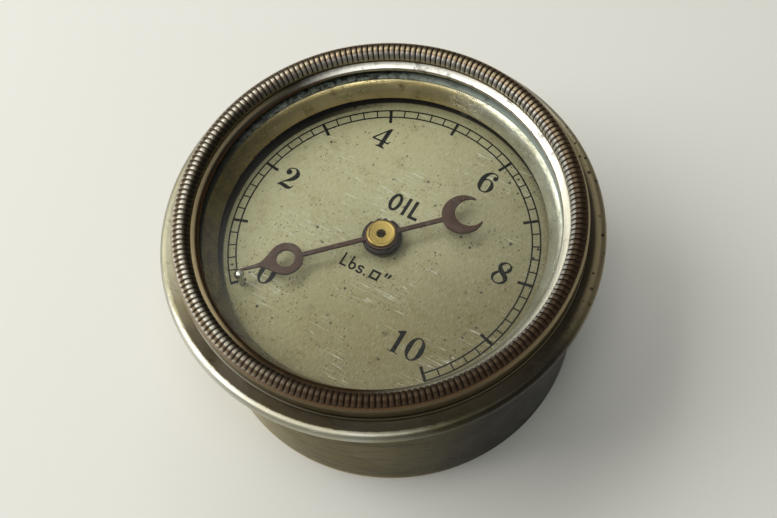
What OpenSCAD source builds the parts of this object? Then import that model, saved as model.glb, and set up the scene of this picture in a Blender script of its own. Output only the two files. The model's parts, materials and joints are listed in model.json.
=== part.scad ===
// Pressure gauge with a milled screw bezel, a geared movement and a coiled pressure tube.
// The gauge stands on its rear rim, the dial looks along +Z and 12 o'clock is along +Y.

/* [Case] */
// Diameter of the case body that passes through the panel
case_d = 52.2; // [46:0.1:58]
// Height from the rear rim to the underside of the flange
body_h = 24.4; // [21:0.1:32]
// Wall of the case behind the back plate
case_wall = 1.0; // [0.8:0.1:1.3]
// How far the wall steps in to form the seat of the back plate
back_step = 0.4; // [0.3:0.05:0.6]
// Wall of the case around the dial
mouth_wall = 1.7; // [1.5:0.05:1.9]
// Width of the flange in front of the panel
flange_w = 3.6; // [2.5:0.1:6]
// Thickness of the flange
flange_t = 1.7; // [1.2:0.1:2.4]
// Height of the relief groove between the body and the flange
groove_h = 0.4; // [0.3:0.1:0.8]
// Depth of the relief groove in the body
groove_in = 0.8; // [0.6:0.1:1]
// Width of the relief groove outside the body
groove_out = 0.5; // [0.4:0.1:1]
// How far the body reaches up into the flange
flange_seat = 0.2; // [0.1:0.1:0.4]
// How far the neck's thread lies inside the outline of the body
thread_inset = 0.2; // [0.1:0.05:0.4]
// Wall of the threaded neck that carries the bezel
neck_wall = 0.7; // [0.5:0.05:0.8]
// Height of the threaded neck over the flange
neck_h = 1.4; // [1.2:0.1:1.6]
// How far the top of the dial lies below the underside of the flange
dial_drop = 2.5; // [2:0.1:3]
// Width of the ledge that carries the dial
ledge_w = 1.8; // [1.4:0.1:2]
// Thickness of the ledge that carries the dial
ledge_t = 1.0; // [0.8:0.1:1.4]
// Thickness of the back plate
back_t = 1.2; // [0.8:0.1:1.5]

/* [Bezel] */
// Height of the centre of the milled bead over the flange
bead_rise = 3.1; // [2.9:0.05:3.5]
// Mean radius of the milled bead's section
bead_r = 1.15; // [1:0.05:1.3]
// How far the bead stands out beyond the skirt
bead_out = 0.02; // [0:0.01:0.2]
// Height of a rib over the grooves beside it
rib_h = 0.22; // [0.1:0.02:0.3]
// Distance from rib to rib around the bead
rib_pitch = 0.79; // [0.7:0.01:1.2]
// Thickness of the bezel's skirt
skirt_t = 1.0; // [0.8:0.05:1.3]
// How far the skirt's foot stands out, and its chamfer
foot_w = 0.2; // [0.1:0.05:0.4]
// Height of the skirt's foot below the chamfer
foot_t = 0.3; // [0.2:0.05:0.5]
// Width of the lip over the edge of the glass
lip_w = 1.25; // [0.9:0.05:1.5]
// Thickness of the lip at its edge
lip_t = 0.62; // [0.5:0.02:0.8]
// Thickness of the lip at its crest
crest_t = 0.85; // [0.7:0.05:1]
// Distance from the lip's edge to its crest
crest_w = 0.62; // [0.4:0.02:0.8]
// Gap between the bezel and the case, all round
bezel_gap = 0.3; // [0.2:0.05:0.4]

/* [Glass and reflector ring] */
// Thickness of the glass
glass_t = 1.4; // [1:0.1:1.6]
// How far the glass lies below the edge of the neck
glass_sink = 0.05; // [0:0.01:0.1]
// Gap between the glass and the bore of the neck
glass_gap = 0.25; // [0.15:0.05:0.35]
// Thickness of the gasket under the glass
gasket_t = 0.25; // [0.2:0.05:0.4]
// Width of the gasket under the glass
gasket_w = 1.0; // [0.8:0.1:1.3]
// Radial width of the reflector ring's sloping face
ring_w = 1.7; // [1.2:0.1:2]
// Height of the reflector ring's sloping face
ring_drop = 2.1; // [1.5:0.1:2.3]
// Thickness of the reflector ring
ring_t = 0.5; // [0.3:0.1:0.6]

/* [Dial] */
// Thickness of the dial
dial_t = 0.5; // [0.4:0.1:0.8]
// Gap between the dial and the case
dial_gap = 0.2; // [0.1:0.05:0.3]
// Radius of the hole in the middle of the dial
dial_hole = 1.6; // [1.2:0.1:1.9]
// Angle of the lowest mark on the scale
zero_angle = 225; // [215:1:235]
// Sweep of the scale from the lowest mark to the highest
scale_sweep = 270; // [240:1:280]
// Distance of the stop pin from the edge of the dial
stop_in = 4.5; // [3.8:0.1:5.5]
// Angle of the stop pin below the lowest mark
stop_step = 1.3; // [1:0.1:3]
// Diameter of the stop pin
stop_d = 0.9; // [0.6:0.1:1.2]
// Height of the stop pin over the dial
stop_h = 3.2; // [2.8:0.1:3.4]
// How far the stop pin's head stands out
stop_head = 0.25; // [0.15:0.05:0.4]
// Gap between the stop pin's head and the resting pointer
stop_gap = 0.29; // [0.2:0.01:0.5]
// Radius of the dial screws' heads
dial_screw_head = 0.75; // [0.6:0.05:0.85]
// Height of the dial screws' heads
dial_screw_t = 0.4; // [0.3:0.05:0.5]
// Radius of the dial screws' shanks
dial_shank = 0.4; // [0.3:0.05:0.5]

/* [Pointer] */
// Distance of the pointer's tip from the edge of the dial
tip_in = 4.0; // [3.2:0.1:5]
// Thickness of the pointer
pointer_t = 0.35; // [0.25:0.05:0.5]
// Height of the pointer's underside over the dial
pointer_rise = 1.75; // [1.5:0.05:2.2]
// Width of the pointer's arms
arm_w = 0.6; // [0.5:0.05:1]
// Width of the needle where it leaves the eye's shoulders
needle_w = 0.46; // [0.3:0.02:0.6]
// Width of the pointer's tip
tip_w = 0.16; // [0.1:0.02:0.3]
// Distance from the pointer's tip to the centre of its eye
eye_in = 7.0; // [5:0.1:9]
// Outer diameter of the pointer's eye
eye_d = 4.7; // [3.8:0.1:5.5]
// Width of the rim of the pointer's eye
eye_rim = 1.0; // [0.6:0.1:1.3]
// Distance from the axis to the centre of the crescent on the tail
tail_r = 11.3; // [9:0.1:13]
// Outer diameter of the crescent on the tail
tail_d = 5.8; // [4:0.1:7]
// How far the crescent's hollow lies off its centre
tail_shift = 1.0; // [0.6:0.1:1.4]
// How far the pointer's boss stands out beyond the bush
boss_out = 0.3; // [0.1:0.05:0.5]
// Diameter of the brass bush that grips the spindle
bush_d = 4.0; // [3:0.1:4.2]
// Thickness of the bush's head
bush_t = 0.4; // [0.3:0.05:0.6]
// Radius of the bush's barrel
barrel_r = 1.3; // [1.1:0.05:1.5]
// Gap between the bush's barrel and the dial
barrel_gap = 0.45; // [0.3:0.05:0.7]
// Diameter of the notched collar under the pointer's boss
collar_d = 5.1; // [4.4:0.1:6]
// Gap between the collar and the dial
collar_gap = 0.75; // [0.5:0.05:1]
// Width of the notches in the collar
notch_w = 0.5; // [0.3:0.05:0.7]
// Depth of the notches in the collar
notch_t = 0.3; // [0.2:0.05:0.5]
// Angle of the middle notch while the pointer rests
notch_angle = 120; // [0:1:359]
// Angle from notch to notch
notch_step = 21; // [18:1:40]

/* [Pressure tube] */
// Gap between the tube and the wall of the case
tube_gap = 2.7; // [2.3:0.1:3.2]
// Radial width of the flattened tube
tube_w = 2.0; // [1.6:0.1:2.2]
// Height of the flattened tube
tube_h = 7; // [6:0.1:7.4]
// Wall of the tube
tube_wall = 0.3; // [0.2:0.05:0.4]
// Height of the tube over the back plate
tube_rise = 1.5; // [1.4:0.1:2]
// Angle at which the tube leaves its socket
root_angle = 246; // [240:1:250]
// Free arc of the tube from the socket to the end piece
free_arc = 262; // [258:1:264]
// How far the end piece covers the tube all round
cap_t = 0.2; // [0.1:0.05:0.4]
// Angle that the end piece takes up on the tube's curve
cap_arc = 5; // [4:0.5:7]
// Distance of the end pin inside the tube's curve
end_pin_in = 4.0; // [3.6:0.1:4.4]
// Distance of the end pin below the centre line of the dial
end_pin_y = 9.2; // [8.8:0.1:9.8]
// Width of the end piece's lug
lug_w = 1.6; // [1.3:0.1:1.8]
// Thickness of the end piece's lug
lug_t = 1.0; // [0.8:0.1:1.2]
// Radius of the end piece's eye
lug_eye = 1.2; // [1:0.1:1.4]

/* [Tube socket and inlet] */
// Diameter over the thread of the inlet stem, one eighth inch pipe
stem_d = 9.73; // [9:0.01:11]
// Height of the stem's end over the rear rim
stem_clear = 0.5; // [0.3:0.1:1.5]
// Width of the thread's run-out groove under the back nut
relief_w = 0.6; // [0.4:0.1:1]
// Depth of the thread's run-out groove
relief_t = 0.5; // [0.3:0.1:0.8]
// Diameter of the inlet passage
inlet_d = 3.2; // [2:0.1:4]
// Metal between the end of the inlet passage and the socket's back
inlet_end = 0.2; // [0.1:0.05:0.5]
// Radius of the ducts from the inlet passage to the tube
duct_r = 0.8; // [0.5:0.05:0.9]
// Height of the cross duct's centre over the back plate
duct_rise = 1.35; // [1.2:0.05:1.5]
// Radius of the socket's round boss and of the movement's base plate
boss_r = 6; // [5.5:0.1:6.5]
// Height of the socket's boss over the back plate
boss_h = 2.6; // [2.3:0.1:3]
// Angle from the tube's root to the middle of the socket's head
head_step = 12; // [10:1:14]
// Width of the socket's bar from the boss to the head
bar_w = 7; // [6:0.1:8]
// Width of the socket's head across the tube
head_w = 8; // [7:0.1:9]
// Metal between the tube and the inner face of the socket's head
head_wall = 2.3; // [1.8:0.1:2.8]
// Metal between the tube and the top of the socket's head
head_cover = 0.5; // [0.3:0.1:0.8]
// Gap between the socket's head and the case
head_gap = 0.6; // [0.5:0.05:0.8]
// Width across the flats of the back nut
nut_af = 14.3; // [13:0.1:17]
// Height of the back nut
nut_h = 2.2; // [1.8:0.1:2.6]
// Thickness of the fibre washer under the back nut
washer_t = 0.4; // [0.3:0.1:0.6]
// How far the fibre washer stands out beyond the nut's flats
washer_out = 0.4; // [0.1:0.1:1]
// Distance of the inner socket screw inside the tube's curve
socket_screw_in = 8; // [6:0.1:9]
// Distance of the outer socket screw inside the tube's curve
socket_screw_out = 0.6; // [0:0.1:2]
// Radius of the socket screws' heads
socket_head = 1.9; // [1.6:0.1:2.1]
// Height of the socket screws' heads
socket_head_t = 1.0; // [0.8:0.1:1.3]
// Radius of the socket screws' shanks
socket_shank = 1.0; // [0.8:0.1:1.1]
// How far the socket screws reach into the socket
socket_bite = 0.4; // [0.3:0.05:0.5]

/* [Movement plates] */
// Gap between the pillar screws and the dial
dial_room = 1.5; // [1:0.1:3]
// Thickness of the movement's plates
plate_t = 0.8; // [0.6:0.1:1]
// Distance between the plates
plate_gap = 4.3; // [4.2:0.1:4.6]
// Width of the plates' arms
plate_arm = 3.6; // [3:0.1:4]
// Radius of the plates' eyes
plate_eye = 2.3; // [2:0.1:2.5]
// Radius of the upper plate's hub
cock_hub = 3.2; // [2.5:0.1:4]
// Distance of the two left pillars from both centre lines
pillar_in = 6.2; // [5.8:0.1:6.8]
// Distance of the right pillar from the quadrant's axis, along X
pillar_back = 1.5; // [1:0.1:2.5]
// Distance of the right pillar from the quadrant's axis, along Y
pillar_y = 8; // [7.5:0.1:9]
// Radius of the pillars
pillar_r = 1.4; // [1.1:0.05:1.7]
// Radius of the pillar screws' heads
pillar_head = 1.3; // [1:0.05:1.6]
// Height of the pillar screws' heads
pillar_head_t = 0.7; // [0.5:0.05:0.9]
// How far the pillar screws reach into the pillars
pillar_bite = 2.3; // [1.5:0.1:3]
// Radius of the movement's screws
shank_r = 0.6; // [0.4:0.05:0.8]
// Room left past a screw's end in its hole
screw_end = 0.1; // [0.05:0.05:0.3]
// Distance of the base screws from the spindle, along X
base_screw_x = 3.9; // [3.4:0.1:4.4]
// Distance of the base screws from the spindle, along Y
base_screw_y = 2.7; // [2.2:0.1:3]
// Radius of the base screws' heads
base_head = 1.1; // [0.9:0.05:1.3]
// Height of the base screws' heads
base_head_t = 0.6; // [0.4:0.05:0.8]
// How far the base screws reach into the socket
base_bite = 1.1; // [0.8:0.1:1.3]

/* [Gear train] */
// Distance from the quadrant's axis to the tube
quadrant_gap = 6.5; // [6:0.1:7]
// Teeth on the pinion
pinion_teeth = 12; // [11:1:13]
// Teeth that the quadrant would have as a full wheel
quadrant_teeth = 96; // [92:1:98]
// Teeth beyond those that the full swing needs, at each end
spare_teeth = 3; // [2:1:4]
// Thickness of the quadrant
quadrant_t = 0.8; // [0.6:0.1:0.9]
// Height of the quadrant over the base plate
quadrant_rise = 0.7; // [0.5:0.05:0.9]
// Width of the quadrant's rim below its teeth
rim_w = 1.18; // [0.9:0.05:1.5]
// Width of the quadrant's spokes
spoke_w = 1.3; // [1:0.1:1.6]
// Radius of the quadrant's hub
quadrant_hub = 1.8; // [1.5:0.1:2.1]
// Distance from the quadrant's axis to the link's pin
tail_arm = 4.2; // [3.8:0.1:4.4]
// How far the pinion stands out on each side of the quadrant
pinion_over = 0.25; // [0.1:0.05:0.35]
// Play in the teeth, taken off each tooth's width
tooth_play = 0.05; // [0.03:0.01:0.07]
// Width of the link and of the quadrant's tail
link_w = 1.4; // [1.1:0.1:1.6]
// Thickness of the link
link_t = 0.6; // [0.5:0.05:0.7]
// Radius of the eyes on the link and on the quadrant's tail
link_eye = 1.0; // [0.9:0.05:1.2]
// Diameter of the link's pins
pin_d = 0.8; // [0.6:0.1:1]
// How far the heads of the link's pins stand out
pin_head = 0.35; // [0.2:0.05:0.5]
// Height of the heads of the link's pins
pin_head_t = 0.4; // [0.3:0.05:0.5]
// Radial clearance of the end pin in the link
end_pin_gap = 0.16; // [0.12:0.01:0.2]
// Radius of the bearing pivots
pivot_r = 0.4; // [0.3:0.05:0.5]
// Radial clearance of a turning pivot in its hole
run_gap = 0.04; // [0.02:0.01:0.08]
// End play of the turning shafts and of the link
end_play = 0.1; // [0.05:0.01:0.15]
// How far the spindle stands out beyond the pointer's bush, less the bush's head
spindle_out = 0.2; // [0.1:0.05:0.35]

/* [Hairspring] */
// Turns of the hairspring
hair_turns = 5.5; // [4:0.5:6]
// Outer radius of the hairspring
hair_r = 6; // [5:0.1:6.4]
// Thickness of the hairspring's strip
hair_t = 0.12; // [0.08:0.01:0.2]
// Height of the hairspring's strip
hair_h = 0.8; // [0.6:0.05:0.9]
// Gap between the hairspring and the upper plate
hair_gap = 0.9; // [0.7:0.05:1.1]
// Gap between the collet and the hairspring's first turn
hair_play = 0.03; // [0.02:0.01:0.08]
// Radius of the hairspring's collet
collet_r = 1.2; // [1:0.05:1.4]
// How far the collet stands out over each edge of the strip
collet_over = 0.1; // [0.05:0.05:0.2]
// Radius of the hairspring's stud
stud_r = 0.45; // [0.35:0.05:0.6]
// How far the stud reaches below the strip
stud_over = 0.2; // [0.1:0.05:0.3]
// Angle of the hairspring's stud
stud_angle = 135; // [125:1:145]
// Angle from the stud back to the strip's end
hair_step = 6; // [5:1:9]

/* [Hidden] */
$fn = 96;
eps = 0.01;
cut = 1;

// Heights over the rear rim: the movement hangs below the dial, and the back plate follows it
dial_z = body_h - dial_drop;
flange_z = body_h + flange_t;
neck_z = flange_z + neck_h;
movement_h = boss_h + 2 * plate_t + plate_gap + pillar_head_t;
socket_z = dial_z - dial_t - dial_room - movement_h;
rear_z = socket_z - back_t;
nut_z = rear_z - washer_t - nut_h;
base_z = socket_z + boss_h;
gap_z = base_z + plate_t;
cock_z = gap_z + plate_gap;
cock_top = cock_z + plate_t;
quadrant_z = gap_z + quadrant_rise;
link_z = quadrant_z + quadrant_t + end_play;
lug_z = link_z - end_play - lug_t;
tube_z = socket_z + tube_rise + tube_h / 2;
hair_z = cock_z - hair_gap - hair_h;
pointer_z = dial_z + pointer_rise;
bush_z = pointer_z + pointer_t;

// Radii of the case and of what fits in it
case_r = case_d / 2;
flange_r = case_r + flange_w;
rear_r = case_r - case_wall;
inner_r = rear_r - back_step;
mouth_r = case_r - mouth_wall;
dial_r = mouth_r - dial_gap;
ledge_r = mouth_r - ledge_w;
thread_r = case_r - thread_inset;
neck_r = thread_r - neck_wall;
glass_r = neck_r - glass_gap;
bore_r = thread_r + bezel_gap;
skirt_r = bore_r + skirt_t;
bead_c = skirt_r + bead_out - bead_r;
stop_r = dial_r - stop_in;
pointer_len = dial_r - tip_in;
eye_r = pointer_len - eye_in;
tube_r = inner_r - tube_gap - tube_w / 2;

// Stack inside the neck, from the glass down to the shoulder
glass_z = neck_z - glass_sink - glass_t;
gasket_z = glass_z - gasket_t;
ring_z = gasket_z - ring_t;
ring_r = glass_r - gasket_w;

// Gear train: the size of the teeth follows from the distance between the two axes
quadrant_x = tube_r - tube_w / 2 - quadrant_gap;
tooth_m = 2 * quadrant_x / (pinion_teeth + quadrant_teeth);
ratio = quadrant_teeth / pinion_teeth;
pinion_pr = tooth_m * pinion_teeth / 2;
quadrant_pr = tooth_m * quadrant_teeth / 2;
pin_angle = zero_angle + stop_step;
rest_angle = pin_angle - asin((stop_d / 2 + stop_head + stop_gap) / stop_r);
sweep = rest_angle - (zero_angle - scale_sweep);
swing = sweep / ratio;
tooth_step = 360 / quadrant_teeth;
tooth_first = -ceil(swing / tooth_step) - spare_teeth;

// Pressure tube, and the pins at the two ends of the link
end_angle = root_angle - free_arc;
head_angle = root_angle + head_step;
link_pin = [quadrant_x + tail_arm * cos(swing / 2), -tail_arm * sin(swing / 2)];
end_pin_at = [tube_r - end_pin_in, -end_pin_y];
pin_r = pin_d / 2;

// Places of the screws and pillars in the plan
pillar_at = [[-pillar_in, pillar_in], [-pillar_in, -pillar_in], [quadrant_x - pillar_back, pillar_y]];
base_screw_at = [[-base_screw_x, base_screw_y], [-base_screw_x, -base_screw_y]];
socket_screw_at = [tube_r - socket_screw_in, tube_r - socket_screw_out];
dial_screw_at = [90, 210, 330];

function polar(r, a) = [r * cos(a), r * sin(a)];

// A point on the cubic curve with control points p, and a side's points turned over and run back
function curve_point(p, t) =
    pow(1 - t, 3) * p[0] + 3 * t * pow(1 - t, 2) * p[1] + 3 * t * t * (1 - t) * p[2] + pow(t, 3) * p[3];
function mirrored(side) = [for (i = [len(side) - 1:-1:0]) [side[i].x, -side[i].y]];

// A round peg, or the hole for one, that stands on a point of the plan
module peg(p, r, z, h) {
    translate([p.x, p.y, z]) cylinder(r = r, h = h, $fn = 48);
}

// A ring with a rectangular section
module ring(r_out, r_in, z, h) {
    translate([0, 0, z]) difference() {
        cylinder(r = r_out, h = h);
        translate([0, 0, -cut]) cylinder(r = r_in, h = h + 2 * cut);
    }
}

// A flat bar from one point to another
module bar(from, to, w, t) {
    d = to - from;
    translate(from) rotate(atan2(d.y, d.x)) translate([0, -w / 2, 0]) cube([norm(d), w, t]);
}

// A cheese-head screw that points down, with its head's underside at height z
module screw(p, z, r_head, h_head, r_shank, l_shank) {
    slot = r_head * 2 / 7;
    difference() {
        union() {
            peg(p, r_head, z, h_head);
            peg(p, r_shank, z - l_shank, l_shank + eps);
        }
        translate([p.x - r_head - cut, p.y - slot / 2, z + h_head * 0.55])
            cube([2 * r_head + 2 * cut, slot, h_head]);
    }
}

// Involute teeth: half angle of a tooth at radius r
function inv(a) = tan(a) * 180 / PI - a;
function half_tooth(n, r) =
    let (pr = tooth_m * n / 2, rb = pr * cos(20), a = acos(min(1, rb / max(r, rb))))
    90 / n - tooth_play / 2 / pr * 180 / PI + inv(20) - inv(a);
function tooth(n, c, root, tip) =
    let (steps = [root, root + (tip - root) * 0.35, root + (tip - root) * 0.7, tip])
    concat(
        [for (r = steps) polar(r, c - half_tooth(n, r))],
        [for (i = [3:-1:0]) polar(steps[i], c + half_tooth(n, steps[i]))]
    );

module case_shell() color("#8a8355") {
    rotate_extrude() {
        difference() {
            union() {
                square([case_r, body_h - groove_h]);
                square([case_r - groove_in, body_h + flange_seat]);
            }
            translate([-cut, -cut]) square([rear_r + cut, socket_z + cut]);
            translate([-cut, 0]) square([inner_r + cut, dial_z - dial_t - ledge_t]);
            translate([-cut, 0]) square([ledge_r + cut, dial_z]);
            translate([-cut, dial_z - dial_t]) square([mouth_r + cut, body_h]);
        }
    }
}

// Front ring soldered on the body: the flange with its full round edge, a relief groove at its
// root, the shoulder for the reflector ring and the threaded neck
module flange_ring() color("#9a946a") {
    edge_r = flange_t / 2;
    rotate_extrude() difference() {
        union() {
            translate([0, body_h]) square([flange_r - edge_r, flange_t]);
            translate([flange_r - edge_r, body_h + edge_r]) circle(r = edge_r, $fn = 48);
            translate([0, flange_z - eps]) square([thread_r, neck_h + eps]);
        }
        translate([-cut, 0]) square([mouth_r + cut, neck_z]);
        translate([-cut, 0]) square([case_r + groove_out + cut, body_h + flange_seat]);
        translate([-cut, ring_z]) square([neck_r + cut, body_h]);
    }
}

module back_plate() color("#a89a5c") {
    difference() {
        ring(rear_r, stem_d / 2, rear_z, back_t);
        for (r = socket_screw_at) peg(polar(r, head_angle), socket_shank, rear_z - cut, back_t + 2 * cut);
    }
}

// Section of the flattened tube, drawn about its own centre
module oval(w, h) {
    for (s = [-1, 1]) translate([0, s * (h - w) / 2]) circle(d = w, $fn = 48);
    square([w, h - w], center = true);
}

// One stretch of the tube's path, swept with the section that follows
module along_tube(a0, a1) {
    rotate(a0) rotate_extrude(angle = a1 - a0, $fn = 180) translate([tube_r, tube_z]) children();
}

module tube_socket() color("#b39a4e") {
    head_from = tube_r - tube_w / 2 - head_wall;
    head_l = inner_r - head_gap - head_from;
    head_h = tube_z + tube_h / 2 + head_cover - socket_z;
    duct_z = socket_z + duct_rise;
    core_r = stem_d / 2 - relief_t;
    difference() {
        union() {
            peg([0, 0], stem_d / 2, stem_clear, nut_z - relief_w - stem_clear);
            peg([0, 0], core_r, stem_clear + cut, socket_z - stem_clear);
            peg([0, 0], stem_d / 2, nut_z, socket_z - nut_z + eps);
            translate([0, 0, socket_z]) cylinder(r = boss_r, h = boss_h);
            rotate(head_angle) translate([0, -bar_w / 2, socket_z]) cube([head_from + cut, bar_w, boss_h]);
            rotate(head_angle) translate([head_from, -head_w / 2, socket_z]) cube([head_l, head_w, head_h]);
        }
        along_tube(root_angle - 4, head_angle + 2) oval(tube_w, tube_h);
        peg([0, 0], inlet_d / 2, 0, socket_z - inlet_end);
        peg([0, 0], duct_r, 0, duct_z);
        translate([0, 0, duct_z]) rotate(head_angle) rotate([0, 90, 0])
            cylinder(r = duct_r, h = tube_r + duct_r / 2, $fn = 48);
        peg(polar(tube_r, head_angle), duct_r, duct_z, tube_h / 2);
        for (r = socket_screw_at) peg(polar(r, head_angle), socket_shank, socket_z - cut, socket_bite + cut);
        for (p = base_screw_at) peg(p, shank_r, base_z - base_bite - screw_end, boss_h);
    }
}

module back_nut() color("#b7a45c") {
    translate([0, 0, nut_z]) difference() {
        cylinder(d = nut_af / cos(30), h = nut_h, $fn = 6);
        translate([0, 0, -cut]) cylinder(d = stem_d, h = nut_h + 2 * cut);
    }
}

module nut_washer() color("#7a3b2a") {
    ring(nut_af / 2 + washer_out, stem_d / 2, rear_z - washer_t, washer_t);
}

module socket_screws() color("#9a9588") {
    for (r = socket_screw_at)
        translate(concat(polar(r, head_angle), rear_z)) rotate([180, 0, 0])
            screw([0, 0], 0, socket_head, socket_head_t, socket_shank, back_t + socket_bite);
}

module bourdon_tube() color("#c2a65a") {
    along_tube(end_angle, head_angle + 2) difference() {
        oval(tube_w, tube_h);
        oval(tube_w - 2 * tube_wall, tube_h - 2 * tube_wall);
    }
}

module tube_end() color("#b39a4e") {
    difference() {
        union() {
            along_tube(end_angle - cap_arc, end_angle)
                square([tube_w + 2 * cap_t, tube_h + 2 * cap_t], center = true);
            translate([0, 0, lug_z])
                bar(polar(tube_r - cap_t, end_angle - cap_arc * 0.88), end_pin_at, lug_w, lug_t);
            peg(end_pin_at, lug_eye, lug_z, lug_t);
        }
        peg(end_pin_at, pin_r, lug_z - cut, lug_t + 2 * cut);
    }
}

// A headed pin that passes up through a plate of thickness t and the link on it
module headed_pin(p, t) {
    head_z = link_z + link_t + end_play;
    peg(p, pin_r, link_z - end_play - t, t + link_t + 2 * end_play + eps);
    peg(p, pin_r + pin_head, head_z, pin_head_t);
}

module end_pin() color("#8f8c86") headed_pin(end_pin_at, lug_t);

module quadrant_pin() color("#8f8c86") headed_pin(link_pin, quadrant_t);

module link() color("#a3a09a") {
    difference() {
        union() {
            translate([0, 0, link_z]) bar(link_pin, end_pin_at, link_w, link_t);
            for (p = [link_pin, end_pin_at]) peg(p, link_eye, link_z, link_t);
        }
        peg(link_pin, pin_r + run_gap, link_z - cut, link_t + 2 * cut);
        peg(end_pin_at, pin_r + end_pin_gap, link_z - cut, link_t + 2 * cut);
    }
}

module quadrant() color("#c9b061") {
    root = quadrant_pr - 1.28 * tooth_m;
    tip = quadrant_pr + 0.68 * tooth_m;
    rim = root - rim_w;
    a0 = 180 + (tooth_first - 0.5) * tooth_step;
    a1 = 180 + (spare_teeth + 0.5) * tooth_step;
    teeth = [
        for (i = [tooth_first:spare_teeth]) each tooth(quadrant_teeth, 180 + i * tooth_step, root, tip)
    ];
    inner = [for (i = [0:24]) polar(rim, a1 + (a0 - a1) * i / 24)];
    tail = link_pin - [quadrant_x, 0];
    translate([quadrant_x, 0, quadrant_z]) difference() {
        union() {
            linear_extrude(quadrant_t) polygon(concat([polar(root, a0)], teeth, [polar(root, a1)], inner));
            for (a = [a0 + tooth_step, a1 - tooth_step])
                bar([0, 0], polar(rim + rim_w / 3, a), spoke_w, quadrant_t);
            bar([0, 0], tail, link_w, quadrant_t);
            peg(tail, link_eye, 0, quadrant_t);
            peg([0, 0], quadrant_hub, 0, quadrant_t);
        }
        peg([0, 0], 2 * pivot_r, -cut, quadrant_t + 2 * cut);
        peg(tail, pin_r, -cut, quadrant_t + 2 * cut);
    }
}

// A shaft that turns between the two plates
module arbor(p, r) {
    peg(p, r, gap_z + end_play, plate_gap - 2 * end_play);
    peg(p, pivot_r, base_z + end_play, cock_top - base_z - end_play);
}

module quadrant_arbor() color("#8f8c86") arbor([quadrant_x, 0], 2 * pivot_r);

module spindle() color("#8f8c86") {
    arbor([0, 0], 1.5 * pivot_r);
    peg([0, 0], pivot_r, cock_top - eps, bush_z + spindle_out - cock_top);
}

module pinion() color("#c9b061") {
    root = pinion_pr - 1.04 * tooth_m;
    tip = pinion_pr + tooth_m;
    outline = [
        for (i = [0:pinion_teeth - 1]) each tooth(pinion_teeth, (i + 0.5) * 360 / pinion_teeth, root, tip)
    ];
    difference() {
        translate([0, 0, quadrant_z - pinion_over])
            linear_extrude(quadrant_t + 2 * pinion_over) polygon(outline);
        peg([0, 0], 1.5 * pivot_r, quadrant_z - pinion_over - cut, quadrant_t + 2 * pinion_over + 2 * cut);
    }
}

// Skeleton plate: a hub, with an arm out to each pillar and one to the quadrant's bearing
module plate(z, hub_r) {
    difference() {
        union() {
            translate([0, 0, z]) cylinder(r = hub_r, h = plate_t);
            for (p = concat(pillar_at, [[quadrant_x, 0]])) {
                translate([0, 0, z]) bar([0, 0], p, plate_arm, plate_t);
                peg(p, plate_eye, z, plate_t);
            }
        }
        for (x = [0, quadrant_x]) peg([x, 0], pivot_r + run_gap, z - cut, plate_t + 2 * cut);
        for (p = pillar_at) peg(p, shank_r, z - cut, plate_t + 2 * cut);
        children();
    }
}

module movement_base() color("#bfa75a") {
    plate(base_z, boss_r) for (p = base_screw_at) peg(p, shank_r, base_z - cut, plate_t + 2 * cut);
}

module movement_cock() color("#c8b168") {
    plate(cock_z, cock_hub) peg(polar(hair_r, stud_angle), stud_r, cock_z - cut, plate_t + 2 * cut);
}

module pillars() color("#b8a052") {
    for (p = pillar_at) {
        difference() {
            peg(p, pillar_r, gap_z, plate_gap);
            peg(p, shank_r, cock_z - pillar_bite - screw_end, pillar_bite + screw_end + cut);
        }
        peg(p, shank_r, base_z, plate_t + eps);
    }
}

module pillar_screws() color("#8f8c86") {
    for (p = pillar_at) screw(p, cock_top, pillar_head, pillar_head_t, shank_r, plate_t + pillar_bite);
}

module movement_screws() color("#8f8c86") {
    for (p = base_screw_at) screw(p, gap_z, base_head, base_head_t, shank_r, plate_t + base_bite);
}

module hairspring_collet() color("#c9b061") {
    ring(collet_r, 1.5 * pivot_r, hair_z - collet_over, hair_h + 2 * collet_over);
}

// A point on one side of the flat spiral strip that runs from the collet out to its stud
hair_points = 28 * hair_turns;
hair_start = collet_r + hair_t / 2 + hair_play;
function hair_point(i, side) =
    let (t = i / hair_points, a = stud_angle - hair_step - 360 * hair_turns * (1 - t))
    polar(hair_start + (hair_r - hair_start) * t + side * hair_t / 2, a);

module hairspring() color("#9fa6b0") {
    translate([0, 0, hair_z]) linear_extrude(hair_h) polygon(concat(
        [for (i = [0:hair_points]) hair_point(i, 1)],
        [for (i = [hair_points:-1:0]) hair_point(i, -1)]
    ));
}

module hairspring_stud() color("#b8a052") {
    peg(polar(hair_r, stud_angle), stud_r, hair_z - stud_over, cock_top - hair_z + stud_over);
}

module dial() color("#b9b48e") {
    under = dial_z - dial_t - cut;
    through = dial_t + 2 * cut;
    difference() {
        translate([0, 0, dial_z - dial_t]) cylinder(r = dial_r, h = dial_t);
        translate([0, 0, under]) cylinder(r = dial_hole, h = through);
        peg(polar(stop_r, pin_angle), stop_d / 2, under, through);
        for (a = dial_screw_at) peg(polar(ledge_r + ledge_w / 2, a), dial_shank, under, through);
    }
}

module dial_screws() color("#9a9588") {
    for (a = dial_screw_at)
        screw(polar(ledge_r + ledge_w / 2, a), dial_z, dial_screw_head, dial_screw_t, dial_shank, dial_t);
}

module stop_pin() color("#d8d2bd") {
    head_r = stop_d / 2 + stop_head;
    translate(concat(polar(stop_r, pin_angle), dial_z)) {
        peg([0, 0], stop_d / 2, -dial_t, dial_t + stop_h - head_r + eps);
        translate([0, 0, stop_h - head_r]) rotate_extrude($fn = 48) intersection() {
            circle(r = head_r);
            square(head_r);
        }
    }
}

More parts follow.
